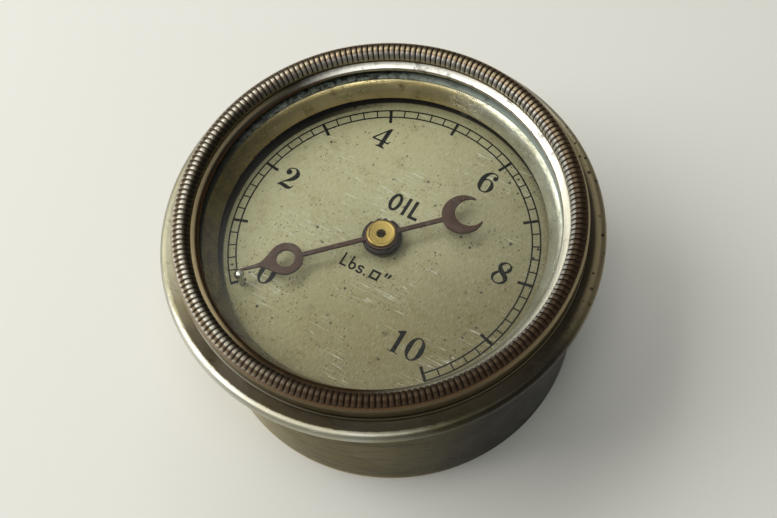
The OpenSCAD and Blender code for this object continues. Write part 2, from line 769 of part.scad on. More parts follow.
// The pointer is drawn along +X and then turned to its place against the stop pin
module pointer() color("#4a3436") {
    eye = eye_d / 2;
    hollow = tail_d * 0.36;
    tail_from = tail_r - tail_d / 2 + arm_w * 2 / 3;
    shoulder = 50;
    flank = [
        polar(eye, shoulder),
        polar(eye, shoulder) + eye * 0.68 * [sin(shoulder), -cos(shoulder)],
        [eye_in * 0.46, needle_w * 0.65],
        [eye_in * 0.57, needle_w / 2]
    ];
    upper = [for (t = [0:0.125:1]) curve_point(flank, t)];
    needle = concat(upper, [[eye_in, tip_w / 2], [eye_in, -tip_w / 2]], mirrored(upper));
    rotate(rest_angle) translate([0, 0, pointer_z]) difference() {
        union() {
            cylinder(d = bush_d + 2 * boss_out, h = pointer_t);
            translate([0, -arm_w / 2, 0]) cube([eye_r - eye + arm_w / 2, arm_w, pointer_t]);
            translate([eye_r, 0, 0]) cylinder(r = eye, h = pointer_t);
            translate([eye_r, 0, 0]) linear_extrude(pointer_t) polygon(needle);
            translate([-tail_from, -arm_w / 2, 0]) cube([tail_from, arm_w, pointer_t]);
            translate([-tail_r, 0, 0]) difference() {
                cylinder(d = tail_d, h = pointer_t);
                translate([-tail_shift, 0, -cut]) cylinder(r = hollow, h = pointer_t + 2 * cut);
                translate([-tail_d, -tail_d, -cut]) cube([tail_d * 0.62, 2 * tail_d, pointer_t + 2 * cut]);
            }
        }
        translate([eye_r, 0, -cut]) cylinder(r = eye - eye_rim, h = pointer_t + 2 * cut);
        translate([0, 0, -cut]) cylinder(r = barrel_r, h = pointer_t + 2 * cut);
    }
}

module hub_collar() color("#3a3230") {
    difference() {
        ring(collar_d / 2, barrel_r, dial_z + collar_gap, pointer_rise - collar_gap);
        for (i = [-1:1]) rotate(notch_angle + i * notch_step)
            translate([collar_d / 2 - notch_t, -notch_w / 2, pointer_z - notch_t])
                cube([cut, notch_w, cut]);
    }
}

module pointer_bush() color("#c8a864") {
    barrel_z = dial_z + barrel_gap;
    difference() {
        union() {
            translate([0, 0, bush_z]) cylinder(d = bush_d, h = bush_t);
            translate([0, 0, barrel_z]) cylinder(r = barrel_r, h = bush_z - barrel_z + eps);
        }
        peg([0, 0], pivot_r, barrel_z - cut, bush_z - barrel_z + bush_t + 2 * cut);
    }
}

// Dished ring: a flat rim under the gasket, a bent slope down to a rolled lip over the dial
module reflector_ring() color("#c4bc9c") {
    lip = [ring_r - ring_w, gasket_z - ring_drop];
    knee = [ring_r - ring_w * 0.62, gasket_z - ring_drop * 0.45];
    rotate_extrude($fn = 192) {
        polygon([
            [glass_r, ring_z],
            [glass_r, gasket_z],
            [ring_r, gasket_z],
            [ring_r - ring_w * 0.3, gasket_z - ring_drop * 0.14],
            knee,
            knee - ring_t * [0.1, 0.24],
            lip,
            lip + ring_t * [0.9, -0.2],
            knee + ring_t * [0.7, -0.7],
            [ring_r - ring_t * 0.4, ring_z]
        ]);
        translate(lip + ring_t * [0.4, -0.1]) circle(r = ring_t / 2, $fn = 32);
    }
}

module glass_gasket() color("#3d332a") ring(glass_r, ring_r, gasket_z, gasket_t);

module glass() color("#cfe0e6", 0.35) {
    translate([0, 0, glass_z]) cylinder(r = glass_r, h = glass_t);
}

// Milled bezel: a section that turns round the axis, with ribs that swell and fade along the bead
bead_z = flange_z + bead_rise;
foot_z = flange_z + bezel_gap;
lip_z = neck_z + bezel_gap;
lip_r = neck_r - lip_w;
ribs = round(2 * PI * (bead_c + bead_r) / rib_pitch);
bead_arc = [-8, 32, 74, 116, 160, 232];
rib_share = [0, 1, 1, 1, 1, 0];
plain_side = [
    [lip_r + crest_w * 1.53, lip_z + lip_t * 0.89],
    [lip_r + crest_w, lip_z + crest_t],
    [lip_r, lip_z + lip_t],
    [lip_r, lip_z],
    [bore_r, lip_z],
    [bore_r, foot_z],
    [skirt_r + foot_w, foot_z],
    [skirt_r + foot_w, foot_z + foot_t],
    [skirt_r, foot_z + foot_t + foot_w]
];

function bead_ring(j) = [
    for (i = [0:2 * ribs - 1])
        let (r = bead_r + rib_share[j] * rib_h * (i % 2 == 0 ? 0.5 : -0.5), a = i * 180 / ribs)
        let (p = [bead_c, bead_z] + polar(r, bead_arc[j]))
        concat(polar(p.x, a), p.y)
];
function plain_ring(p) = [for (i = [0:ribs - 1]) concat(polar(p.x, i * 360 / ribs), p.y)];

module bezel() color("#86643f") {
    beads = len(bead_arc);
    plains = len(plain_side);
    fine = 2 * ribs;
    start = beads * fine;
    points = concat(
        [for (j = [0:beads - 1]) each bead_ring(j)],
        [for (p = plain_side) each plain_ring(p)]
    );
    bead_faces = [
        for (j = [0:beads - 2], i = [0:fine - 1])
            let (a = j * fine, b = a + fine, k = (i + 1) % fine)
            each [[a + i, b + i, a + k], [a + k, b + i, b + k]]
    ];
    plain_faces = [
        for (j = [0:plains - 2], i = [0:ribs - 1])
            let (a = start + j * ribs, b = a + ribs, k = (i + 1) % ribs)
            each [[a + i, b + i, a + k], [a + k, b + i, b + k]]
    ];
    inner_seam = [
        for (i = [0:ribs - 1])
            let (a = (beads - 1) * fine, f = 2 * i, g = (2 * i + 2) % fine, k = (i + 1) % ribs)
            each [
                [a + f, start + i, a + f + 1],
                [a + f + 1, start + i, start + k],
                [a + f + 1, start + k, a + g]
            ]
    ];
    outer_seam = [
        for (i = [0:ribs - 1])
            let (a = start + (plains - 1) * ribs, f = 2 * i, g = (2 * i + 2) % fine, k = (i + 1) % ribs)
            each [
                [a + i, f, f + 1],
                [a + i, f + 1, a + k],
                [a + k, f + 1, g]
            ]
    ];
    faces = concat(bead_faces, plain_faces, inner_seam, outer_seam);
    polyhedron(points = points, faces = faces, convexity = 8);
}

case_shell();
flange_ring();
back_plate();
tube_socket();
back_nut();
nut_washer();
socket_screws();
bourdon_tube();
tube_end();
end_pin();
link();
quadrant();
quadrant_arbor();
quadrant_pin();
movement_base();
movement_cock();
pillars();
pillar_screws();
movement_screws();
spindle();
pinion();
hairspring_collet();
hairspring();
hairspring_stud();
dial();
dial_screws();
stop_pin();
pointer();
hub_collar();
pointer_bush();
reflector_ring();
glass_gasket();
glass();
bezel();
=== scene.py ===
"""Looks of a dashboard oil pressure gauge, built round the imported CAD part."""

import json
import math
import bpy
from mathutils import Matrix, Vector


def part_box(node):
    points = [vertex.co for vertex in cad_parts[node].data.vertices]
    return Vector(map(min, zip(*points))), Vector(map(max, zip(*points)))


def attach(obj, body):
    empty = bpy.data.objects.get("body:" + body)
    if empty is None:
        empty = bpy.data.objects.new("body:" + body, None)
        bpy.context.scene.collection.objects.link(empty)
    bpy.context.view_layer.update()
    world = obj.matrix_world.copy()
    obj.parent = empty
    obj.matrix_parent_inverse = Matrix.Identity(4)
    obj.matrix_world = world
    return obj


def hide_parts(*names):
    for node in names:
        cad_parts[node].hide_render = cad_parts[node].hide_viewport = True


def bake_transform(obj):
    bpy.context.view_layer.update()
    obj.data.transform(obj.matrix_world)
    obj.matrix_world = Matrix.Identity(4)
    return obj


bl_info = {
    "name": "Oil Pressure Gauge",
    "version": (1, 0, 0),
    "blender": (4, 5, 0),
    "location": "3D View > Sidebar > Gauge",
    "description": "Builds the case, the milled bezel, the silvered dial and the pointer of an oil pressure gauge",
    "category": "Add Mesh",
}

import bmesh
import bpy
from bpy.props import FloatProperty, FloatVectorProperty, IntProperty, PointerProperty
from mathutils import Matrix, Vector

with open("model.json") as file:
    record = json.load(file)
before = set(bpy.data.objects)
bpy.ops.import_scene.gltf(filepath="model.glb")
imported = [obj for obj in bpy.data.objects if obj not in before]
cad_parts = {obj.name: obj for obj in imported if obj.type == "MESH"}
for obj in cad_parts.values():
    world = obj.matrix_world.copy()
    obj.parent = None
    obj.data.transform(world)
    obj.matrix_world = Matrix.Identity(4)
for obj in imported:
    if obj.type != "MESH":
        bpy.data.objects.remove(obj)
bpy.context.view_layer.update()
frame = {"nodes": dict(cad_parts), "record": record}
MM = 0.001

# Lengths that several pieces share and their boxes don't give, in millimetres
EDGE = 0.06  # how far a turned edge is broken
MOUTH = 24.4  # radius of the case and the front ring inside
OPENING = 23.95  # radius of the opening in the bezel, the gasket and the reflector ring
BORE = 4.865  # radius of the hole in the back nut and its washer
DIP = 0.13  # depth of the dip between the two crests of a rib


def at(r, degrees):
    """A point of the plan from its radius and angle."""
    return Vector((r * math.cos(math.radians(degrees)), r * math.sin(math.radians(degrees))))


def top(node):
    """Height of a CAD node's upper side, in millimetres."""
    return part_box(node)[1].z / MM


def low(node):
    """Height of a CAD node's underside, in millimetres."""
    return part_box(node)[0].z / MM


def radius(node):
    """Outer radius of a CAD node that stands round the axis, in millimetres."""
    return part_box(node)[1].x / MM


# ---------------------------------------------------------------- settings


def tint(name, description, code):
    """A colour setting from its display code."""
    parts = [int(code[i : i + 2], 16) / 255 for i in (0, 2, 4)]
    linear = [c / 12.92 if c <= 0.04045 else ((c + 0.055) / 1.055) ** 2.4 for c in parts]
    return FloatVectorProperty(
        name=name, description=description, subtype="COLOR", size=3, min=0, max=1, default=linear
    )


def size(name, description, mm):
    """A length setting, given in millimetres."""
    return FloatProperty(
        name=name, description=description, default=mm * MM, min=0, unit="LENGTH", subtype="DISTANCE", precision=5
    )


class GaugeSizes(bpy.types.PropertyGroup):
    """Sizes that a user would change on the dressed gauge."""

    ribs: IntProperty(name="Ribs", description="Ribs milled round the bezel", default=216, min=12)
    rib_height: size("Rib height", "Height of a rib over the grooves beside it", 0.22)
    bead_radius: size("Bead radius", "Mean radius of the milled bead's section", 1.15)
    scale_radius: size("Scale radius", "Radius of the outer arc of the scale", 21.2)
    scale_width: size("Scale width", "Distance between the two arcs of the scale", 1.1)
    arc_width: size("Arc width", "Width of the printed arcs", 0.21)
    mark_length: size("Mark length", "Length of the marks that carry a figure", 2.1)
    mark_width: size("Mark width", "Width of the marks that carry a figure", 0.42)
    minor_width: size("Minor width", "Width of the marks in between", 0.18)
    figure_height: size("Figure height", "Height of the figures", 3.42)
    word_height: size("Word height", "Height of the word over the hub", 2.85)
    unit_height: size("Unit height", "Height of the unit's letters under the hub", 2.0)
    ink: size("Ink", "Thickness of the printed ink", 0.02)
    lamp_distance: size("Lamp distance", "Distance of the lamps", 520)


class GaugeColours(bpy.types.PropertyGroup):
    """Colours of the finishes."""

    nickel: tint("Nickel", "Nickel plating on the case and the bezel", "9d9a86")
    # This nickel is real plating, and also painted highlights on the flange's rim, the bezel's lip, its crests and its
    # foot
    bright: tint("Bright nickel", "Nickel plating of the reflector ring and the bezel's lip", "d6d5cb")
    bare: tint("Bare brass", "Brass where the plating has gone", "7d7435")
    stain: tint("Stain", "Brown stains on the plating", "42321f")
    oxide: tint("Oxide", "Brown oxide on the milled bead", "67503c")
    rust: tint("Rust", "Orange stains at the foot of the bead", "8a4c26")
    # This dark colour is real dirt, and also painted shade on the case and bezel and painted shadow on the dial
    grime_and_shade: tint("Grime", "Dirt in the grooves and corners", "1c1712")
    # The grey bloom is laid only towards 45 to 90 degrees: partly bloom, partly painted sheen
    bloom_and_sheen: tint("Grey bloom", "Blue-grey bloom on the gasket", "a3a9a3")
    tarnish: tint("Tarnish", "Bronze tarnish on the reflector ring, the bezel and the case", "bfae86")
    gold: tint("Golden edges", "Rubbed edges of the reflector ring and the body's foot", "cdb06c")
    silver: tint("Silvering", "Silvered face of the dial", "b0a985")
    aged: tint("Aged silvering", "Silvering that has gone yellow", "8f8452")
    ink: tint("Ink", "Printing on the dial", "0f0e0a")
    plum: tint("Browned steel", "Browned steel of the pointer", "432b20")
    collar: tint("Dark steel", "Collar under the pointer", "1f1915")
    hub: tint("Hub brass", "Turned brass of the pointer's bush", "a58d52")
    brass: tint("Brass", "Brass of the movement and the inlet", "b0934e")
    bronze: tint("Bronze", "Bronze of the pressure tube", "a8793f")
    steel: tint("Steel", "Steel of the screws, pins and arbors", "8f8d88")
    spring: tint("Spring steel", "Blued steel of the hairspring", "4d5f86")
    fibre: tint("Fibre", "Red fibre of the back nut's washer", "7b3a2a")
    # On the bezel's lip this dark colour is a painted dark reflection
    gasket: tint("Gasket", "Gasket under the glass, and the dark part of the bezel's lip", "34342e")
    floor: tint("Floor", "Plain pale floor", "d9d9d2")


# ---------------------------------------------------------------- shader maths


class Term:
    """A socket that takes part in sums, so that shader maths reads as maths."""

    def __init__(self, paint, socket):
        self.paint, self.socket = paint, socket

    def math(self, operation, *others, clamp=False):
        """This value and the others through one Math node."""
        sockets = dict(enumerate((self,) + others))
        return self.paint.node("ShaderNodeMath", {"operation": operation, "use_clamp": clamp}, sockets)

    def out(self, index):
        """Another output of the same node."""
        return Term(self.paint, self.socket.node.outputs[index])

    def __add__(self, other):
        return self.math("ADD", other)

    def __sub__(self, other):
        return self.math("SUBTRACT", other)

    def __rsub__(self, other):
        return self * -1 + other

    def __mul__(self, other):
        return self.math("MULTIPLY", other)

    def __truediv__(self, other):
        return self.math("DIVIDE", other)

    def __pow__(self, other):
        return self.math("POWER", other)

    __radd__ = __add__
    __rmul__ = __mul__


class Paint:
    """A material in the making. Its patterns are laid out in millimetres on the object's own coordinates."""

    def __init__(self, name):
        self.material = bpy.data.materials.new(name)
        self.material.use_nodes = True
        self.tree = self.material.node_tree
        self.tree.nodes.clear()
        held = self.node("ShaderNodeTexCoord", output="Object")
        self.place = self.node("ShaderNodeVectorMath", {"operation": "SCALE"}, {0: held, "Scale": 1 / MM})
        self.x = self.node("ShaderNodeSeparateXYZ", {}, {0: self.place})
        self.y, self.z = self.x.out(1), self.x.out(2)
        self.r = (self.x * self.x + self.y * self.y).math("SQRT")

    def node(self, kind, settings=None, sockets=None, output=0):
        """A node of this kind: its settings come first, then its sockets' values or links."""
        node = self.tree.nodes.new(kind)
        for key, value in (settings or {}).items():
            setattr(node, key, value)
        for key, value in (sockets or {}).items():
            socket = node.inputs[key]
            if isinstance(value, Term):
                self.tree.links.new(value.socket, socket)
            elif socket.type == "RGBA":
                socket.default_value = tuple(value)[:3] + (1,)
            else:
                socket.default_value = value
        return Term(self, node.outputs[output])

    def noise(self, scale, detail=3, roughness=0.55, place=None, distortion=0):
        """Cloudy noise; scale is in features to the millimetre."""
        sockets = {"Vector": place or self.place, "Scale": scale, "Detail": detail, "Roughness": roughness}
        return self.node("ShaderNodeTexNoise", {}, {**sockets, "Distortion": distortion})

    def band(self, value, start, end):
        """0 below start, 1 above end, smooth in between."""
        settings = {"interpolation_type": "SMOOTHSTEP", "clamp": True}
        return self.node("ShaderNodeMapRange", settings, {"Value": value, "From Min": start, "From Max": end})

    def mix(self, below, above, share, blend="MIX"):
        """Colour above laid over colour below by a share."""
        settings = {"data_type": "RGBA", "blend_type": blend, "clamp_factor": True}
        return self.node("ShaderNodeMix", settings, {0: share, 6: below, 7: above}, output=2)

    def coats(self, colour, *layers):
        """Colours laid over one another, each by its share."""
        for above, share in layers:
            colour = self.mix(colour, above, share)
        return colour

    def stripe(self, value, middle, outer, inner):
        """1 where the value is near the middle, 0 where it is more than outer away."""
        return self.band((value - middle).math("ABSOLUTE"), outer, inner)

    def toward(self, degrees):
        """How far a point lies from the axis in this direction."""
        way = at(1, degrees)
        return self.x * way.x + self.y * way.y

    def off(self, x, y):
        """Distance from a point of the plan."""
        return ((self.x - x) ** 2 + (self.y - y) ** 2).math("SQRT")

    def lathe(self, fine, run=2.0):
        """Coordinates in which tool marks are bands that run round the axis."""
        rounds = self.r.math("MAXIMUM", 0.01)
        parts = (self.x / rounds * run, self.y / rounds * run, (self.r + self.z) * fine)
        return self.node("ShaderNodeCombineXYZ", {}, dict(enumerate(parts)))

    def scratches(self, turn, length, width, amount):
        """Thin straight scratches that run mostly one way."""
        sockets = {"Vector": self.place, "Rotation": (0, 0, turn), "Scale": (1 / length, 1 / width, 1 / width)}
        lanes = self.noise(1, 2, 0.5, self.node("ShaderNodeMapping", {"vector_type": "POINT"}, sockets))
        return self.stripe(lanes, 0.5, amount, amount * 0.4)

    def specks(self, scale, largest, share):
        """Round specks of many sizes; share is how many of the cells carry one."""
        cell = self.node("ShaderNodeTexVoronoi", {}, {"Vector": self.place, "Scale": scale})
        chance = self.node("ShaderNodeSeparateColor", {}, {0: cell.out(1)})
        reach = (chance - (1 - share)).math("MAXIMUM", 0) * (largest / share)
        return self.band(reach - cell.out(0), 0, largest * 0.25)

    def finish(self, colour, roughness, metallic=0, height=None, depth=0.02, **constants):
        """Ends the material in one Principled shader; depth is the relief in millimetres."""
        sockets = {"Base Color": colour, "Roughness": roughness, "Metallic": metallic}
        sockets.update({key.replace("_", " "): value for key, value in constants.items()})
        if height:
            relief = {"Height": height, "Distance": depth * MM, "Strength": 1.0}
            sockets["Normal"] = self.node("ShaderNodeBump", {}, relief)
        shader = self.node("ShaderNodeBsdfPrincipled", {}, sockets)
        self.node_out(shader)
        return self.material

    def node_out(self, shader):
        """Links a shader to the material's output."""
        end = self.tree.nodes.new("ShaderNodeOutputMaterial")
        self.tree.links.new(shader.socket, end.inputs["Surface"])


# ---------------------------------------------------------------- finishes
#
# Bands on x, y, z, r, toward() and off() are in millimetres on the part, with z up from the rear rim.

GREY = (0.5, 0.5, 0.5)
SOOT = (0.012, 0.009, 0.008)
WORN_INK = (0.06, 0.055, 0.035)


def turned(name, main, worn, stain, wear, gloss, stains, marks, bite=0.012, metal=1, dress=None):
    """Turned metal, plated or bare: worn patches, stains, tool marks so many to the millimetre, pits and scratches."""
    paint = Paint(name)
    broad = paint.noise(0.11, 5, 0.6, distortion=0.4)
    fine = paint.noise(1.7, 5, 0.65)
    marks_round = paint.noise(1, 3, 0.6, paint.lathe(marks))
    gone = paint.band(broad + fine * 0.3, 0.66 - wear * 0.4, 1.1 - wear * 0.4)
    spots = paint.band(paint.noise(0.55, 6, 0.72), 0.58, 0.74) * stains
    pits = paint.specks(1.6, 0.16, 0.3)
    cuts = paint.scratches(0.7, 9, 0.35, 0.02) + paint.scratches(-0.4, 6, 0.3, 0.014)
    cuts = cuts.math("MULTIPLY", paint.band(paint.noise(0.2, 2), 0.45, 0.6), clamp=True)
    colour = paint.coats(main, (worn, gone), (stain, spots * 0.7), (stain, pits * 0.8), (main, cuts * 0.6))
    colour = paint.mix(colour, GREY, (marks_round - 0.35) * 0.3, "OVERLAY")
    if dress:
        colour = dress(paint, colour, fine)
    rough = gloss + gone * 0.1 + marks_round * 0.14 + fine * 0.1 + spots * 0.2
    height = marks_round * 0.5 + fine * 0.6 - pits * 1.5 - cuts * 0.8
    return paint.finish(colour, rough, (1 - spots * 0.5) * metal, height, bite)


def soiled_and_shaded_case(c):
    """What lies on the case: streaks round the body and bare brass below, with dirt and painted shade beside the bezel,
    painted shade under the flange, on the front and on the right, the left side painted lighter, and a painted
    highlight along the flange's rim.
    """

    def dress(paint, colour, fine):
        side = paint.band(paint.z, 24.3, 24.0) * paint.band(paint.r, 25.4, 25.7)
        streaks = paint.band(paint.noise(1, 5, 0.7, paint.lathe(1.2, 4)), 0.48, 0.68)
        thin = paint.band(paint.noise(1, 4, 0.7, paint.lathe(4.5, 2.4)), 0.52, 0.7)
        # 0 on the right side, which is darkened below as painted shade
        near = 1 - paint.band(paint.toward(2), 8, 25)
        # The front, darkened below as painted shade
        dim = paint.band(paint.toward(-50), 12, 26)
        flange = paint.band(paint.z, 24.2, 24.5)
        inner = paint.band(paint.z, 25.9, 26.06) * paint.band(paint.r + fine * 0.4, 29.05, 28.8)
        # The body's top under the flange, darkened below as painted shade
        under = side * paint.band(paint.z + fine * 2, 19, 25.5)
        # The left side: there the flange is painted lighter, the painted highlight on its rim is narrower and the
        # painted shade is lighter
        clean_lit_side = paint.band(paint.toward(185) + fine * 3, 14, 27)
        # Painted highlight along the flange's rounded rim
        rim = flange * paint.band(paint.r - clean_lit_side * 0.6, 28.6, 28.9) * near * (0.9 - clean_lit_side * 0.55 - dim * 0.45)
        right = flange * paint.band(paint.toward(38) + fine * 2, 19, 28)
        return paint.coats(
            colour,
            (c.bare, side * 0.95),
            (c.stain, side * (streaks * 0.75 + thin * 0.5)),
            (c.bright, side * (1 - streaks) * thin * 0.12 * near),
            # Painted light: the body's left side in a lighter tan
            (c.tarnish, side * paint.band(paint.toward(215), 14, 24) * 0.6),
            # Painted shade on the body's front
            (c.stain, side * dim * (0.5 + streaks * 0.3)),
            # Painted light on the flange's left side, and the painted highlight on its rim
            (c.nickel, flange * clean_lit_side * 0.7),
            (c.bright, rim),
            # Dirt and painted shade beside the bezel, painted shade under the flange and on the right side
            (c.stain, inner * (1 - clean_lit_side) * 0.7),
            (c.grime_and_shade, inner * (0.75 - clean_lit_side * 0.5) + under * 0.4 + (1 - near) * (1 - inner) * 0.93),
            (c.tarnish, right * paint.band(paint.r, 28.0, 28.6) * 0.4),
            (c.grime_and_shade, right * paint.specks(1.4, 0.4, 0.6) * 0.85),
            (c.gold, side * paint.band(paint.z + fine * 0.8, 1.6, 0.6) * near * 0.6),
        )

    return dress


def tarnished_and_shaded_ring(c):
    """Bronze tarnish on the reflector ring except on its right, golden where its edges are rubbed; the untarnished
    silver on its right is partly a painted reflection, the dark brown on its left partly painted shade.
    """

    def dress(paint, colour, fine):
        clean_lit_side = paint.band(paint.toward(20) + fine * 6, 5, 19)
        cloud = paint.noise(0.45, 5, 0.65)
        blotches = (c.bare, paint.band(cloud, 0.45, 0.75) * 0.35)
        spots = (c.stain, paint.band(cloud + fine * 0.3, 0.72, 0.9) * 0.6)
        edge = paint.stripe(paint.z, 25.5, 0.22, 0.08)
        lip = paint.band(paint.z, 23.95, 23.8) * paint.band(paint.r, 22.75, 22.6)
        brown = paint.mix(c.stain, c.bare, paint.band(cloud, 0.35, 0.7) * 0.6)
        return paint.coats(
            paint.coats(c.tarnish, blotches, spots),
            # Silver on the right side: partly real plating, partly a painted reflection
            (colour, clean_lit_side),
            (c.gold, (edge * 0.35 + lip * 0.4) * (1 - clean_lit_side * 0.7)),
            # Dark brown on the left side: partly tarnish, partly painted shade
            (brown, paint.band(paint.toward(225) + fine * 5, 3, 22) * 0.88),
        )

    return dress


def dark_centre(c):
    """Darkens the middle of the bush, round the spindle's end."""

    def dress(paint, colour, fine):
        return paint.mix(colour, c.grime_and_shade, paint.band(paint.r + fine * 0.1, 0.75, 0.6) * 0.95)

    return dress


def bead_section(sizes):
    """Radius of the milled bead's section, height of its ribs, and where the section's middle stands."""
    bead, rib = sizes.bead_radius / MM, sizes.rib_height / MM
    return bead, rib, radius("bezel") - bead - rib / 2, top("bezel") - bead - rib / 2


def milled(name, c, sizes):
    """Bezel: brown oxide on the bead, nickel left on its crests with painted highlights on them, dirt in the grooves,
    painted shade on the bead's front and inner flank, a lip tarnished on one side and painted lit, dark and grey by
    side, and a painted highlight along the edge at its foot.
    """
    paint = Paint(name)
    bead, rib, middle_r, middle_z = bead_section(sizes)
    out, up = paint.r - middle_r, paint.z - middle_z
    reach = (out * out + up * up).math("SQRT")
    round_at = up.math("ARCTAN2", out)
    dip = paint.stripe(round_at, 1.15, 0.47, 0)
    crest = paint.band(reach + dip * DIP, bead, bead + rib * 0.36)
    on_bead = paint.band(reach, bead + rib * 0.8, bead + rib * 0.6) * paint.band(up, -1.0, -0.7)
    fine = paint.noise(2.6, 5, 0.7)
    cloud = paint.noise(0.5, 6, 0.7)
    marks = paint.noise(1, 3, 0.6, paint.lathe(12))
    gone = paint.band(paint.noise(0.12, 4, 0.6) + fine * 0.3, 0.5, 0.8)
    front = paint.band(paint.toward(-25), -4, 20)
    foremost = paint.band(paint.toward(-75), 4, 24)
    left = paint.band(paint.toward(210), 4, 22)

    lit = paint.band(paint.toward(60) + fine * 6, 3, 15)
    tan = paint.band(paint.toward(205), 13, 22) * paint.band(paint.r, 24.3, 24.5)
    lip = paint.coats(
        c.stain,
        (c.grime_and_shade, paint.band(cloud + fine * 0.3, 0.55, 0.8) * 0.6),
        # Painted dark reflection on the lip towards 145 degrees
        (c.gasket, paint.band(paint.toward(145) + fine * 3, 13, 24) * 0.85),
        (c.tarnish, tan * (0.3 + fine * 0.35)),
        # Painted highlight on the lip's side towards 60 degrees, broken by patches
        (c.bright, lit * (1 - paint.band(cloud + fine * 0.4, 0.72, 0.9) * 0.7)),
        # Painted shade: the lip greyer towards the right
        (c.nickel, paint.band(paint.toward(-5) + fine * 4, 13, 22) * 0.75),
    )
    worn = (c.bare, gone * 0.8), (c.stain, paint.band(cloud, 0.5, 0.68) * 0.7)
    plain = paint.coats(c.nickel, *worn, (lip, paint.band(paint.r, 25.3, 25.1)))
    oxide = paint.coats(
        c.oxide,
        (c.stain, paint.band(fine + cloud * 0.5, 0.6, 0.9) * 0.6),
        (c.nickel, left * (0.15 + fine * 0.3)),
        (c.rust, paint.band(paint.noise(0.2, 3) + up * -0.12, 0.55, 0.8) * (1 - left) * 0.35),
    )
    # Two lines along the rib crests: partly nickel left there, partly painted highlights
    rubbed_crest_highlights = paint.stripe(round_at, 0.68, 0.34, 0.08) + paint.stripe(round_at, 1.68, 0.42, 0.1)
    # Their colour is painted lighter on the left
    rubbed = paint.mix(c.tarnish, c.bright, left * 0.7 + 0.15)
    filled = 0.2 + front * 0.4 + left * 0.4
    inside = paint.band(round_at, 1.95, 2.35)
    # Painted highlights along the crests, and painted shade in the dip between them on the left
    ribbed = paint.coats(
        oxide, (rubbed, rubbed_crest_highlights * crest * (0.3 + fine * 0.6) * (1 - front * 0.85)), (c.stain, dip * left * 0.6)
    )
    ribbed = paint.coats(
        c.grime_and_shade,
        (ribbed, crest * (1 - filled) + filled),
        # Painted shade on the bead's front and on its inner flank on the left
        (c.grime_and_shade, (front * 0.64 + left * inside * 0.8).math("MINIMUM", 0.85)),
        # Painted highlight on the crests of the inner flank
        (c.bright, inside * crest * (1 - left) * (1 - foremost) * 0.6),
        (c.tarnish, paint.band(round_at, 0.72, 0.6) * (0.75 - foremost * 0.5)),
        (c.rust, paint.stripe(round_at + fine * 0.08, 0.6, 0.16, 0.05) * foremost * 0.35),
    )
    skirt = paint.band(out, 0.3, 0.8) * paint.band(up, -0.85, -1.05)
    # The edge at the bezel's foot, which gets a painted highlight
    foot_edge_highlight = paint.band(paint.z, 27.05, 26.95) * paint.band(paint.r, 27.1, 27.25)
    colour = paint.coats(
        plain,
        (ribbed, on_bead),
        (c.tarnish, skirt * 0.85),
        # Painted shade in the corner at the skirt and on the front
        (c.grime_and_shade, skirt * paint.stripe(up, -2.15, 0.35, 0.1) * 0.5 + skirt * front * 0.45),
        (c.rust, paint.stripe(up + fine * 0.15, -0.95, 0.13, 0.05) * 0.5),
        # Painted highlight along the edge at the foot
        (c.bright, foot_edge_highlight * (1 - front) * 0.8),
    )
    rough = 0.2 + marks * 0.12 + fine * 0.16 + on_bead * (1 - crest) * 0.35 + on_bead * (cloud * 0.12 + front * 0.2)
    height = marks * 0.4 + fine + on_bead * (paint.noise(4.5, 2, 0.6) * 1.6 + fine)
    return paint.finish(colour, rough, 0.92, height, 0.02)


# Dusty places on the dial: x, y and width. Smudges: x, y, width and strength
DUSTY = ((-9, -12, 9), (0, 0, 5), (9, 6, 5), (-14, -6, 4))
SMUDGES = ((7.2, -11.6, 0.6, 0.5), (13.6, -1.6, 0.4, 0.4), (-3.4, -13.5, 1.2, 0.15), (3.5, -9.0, 0.4, 0.35))


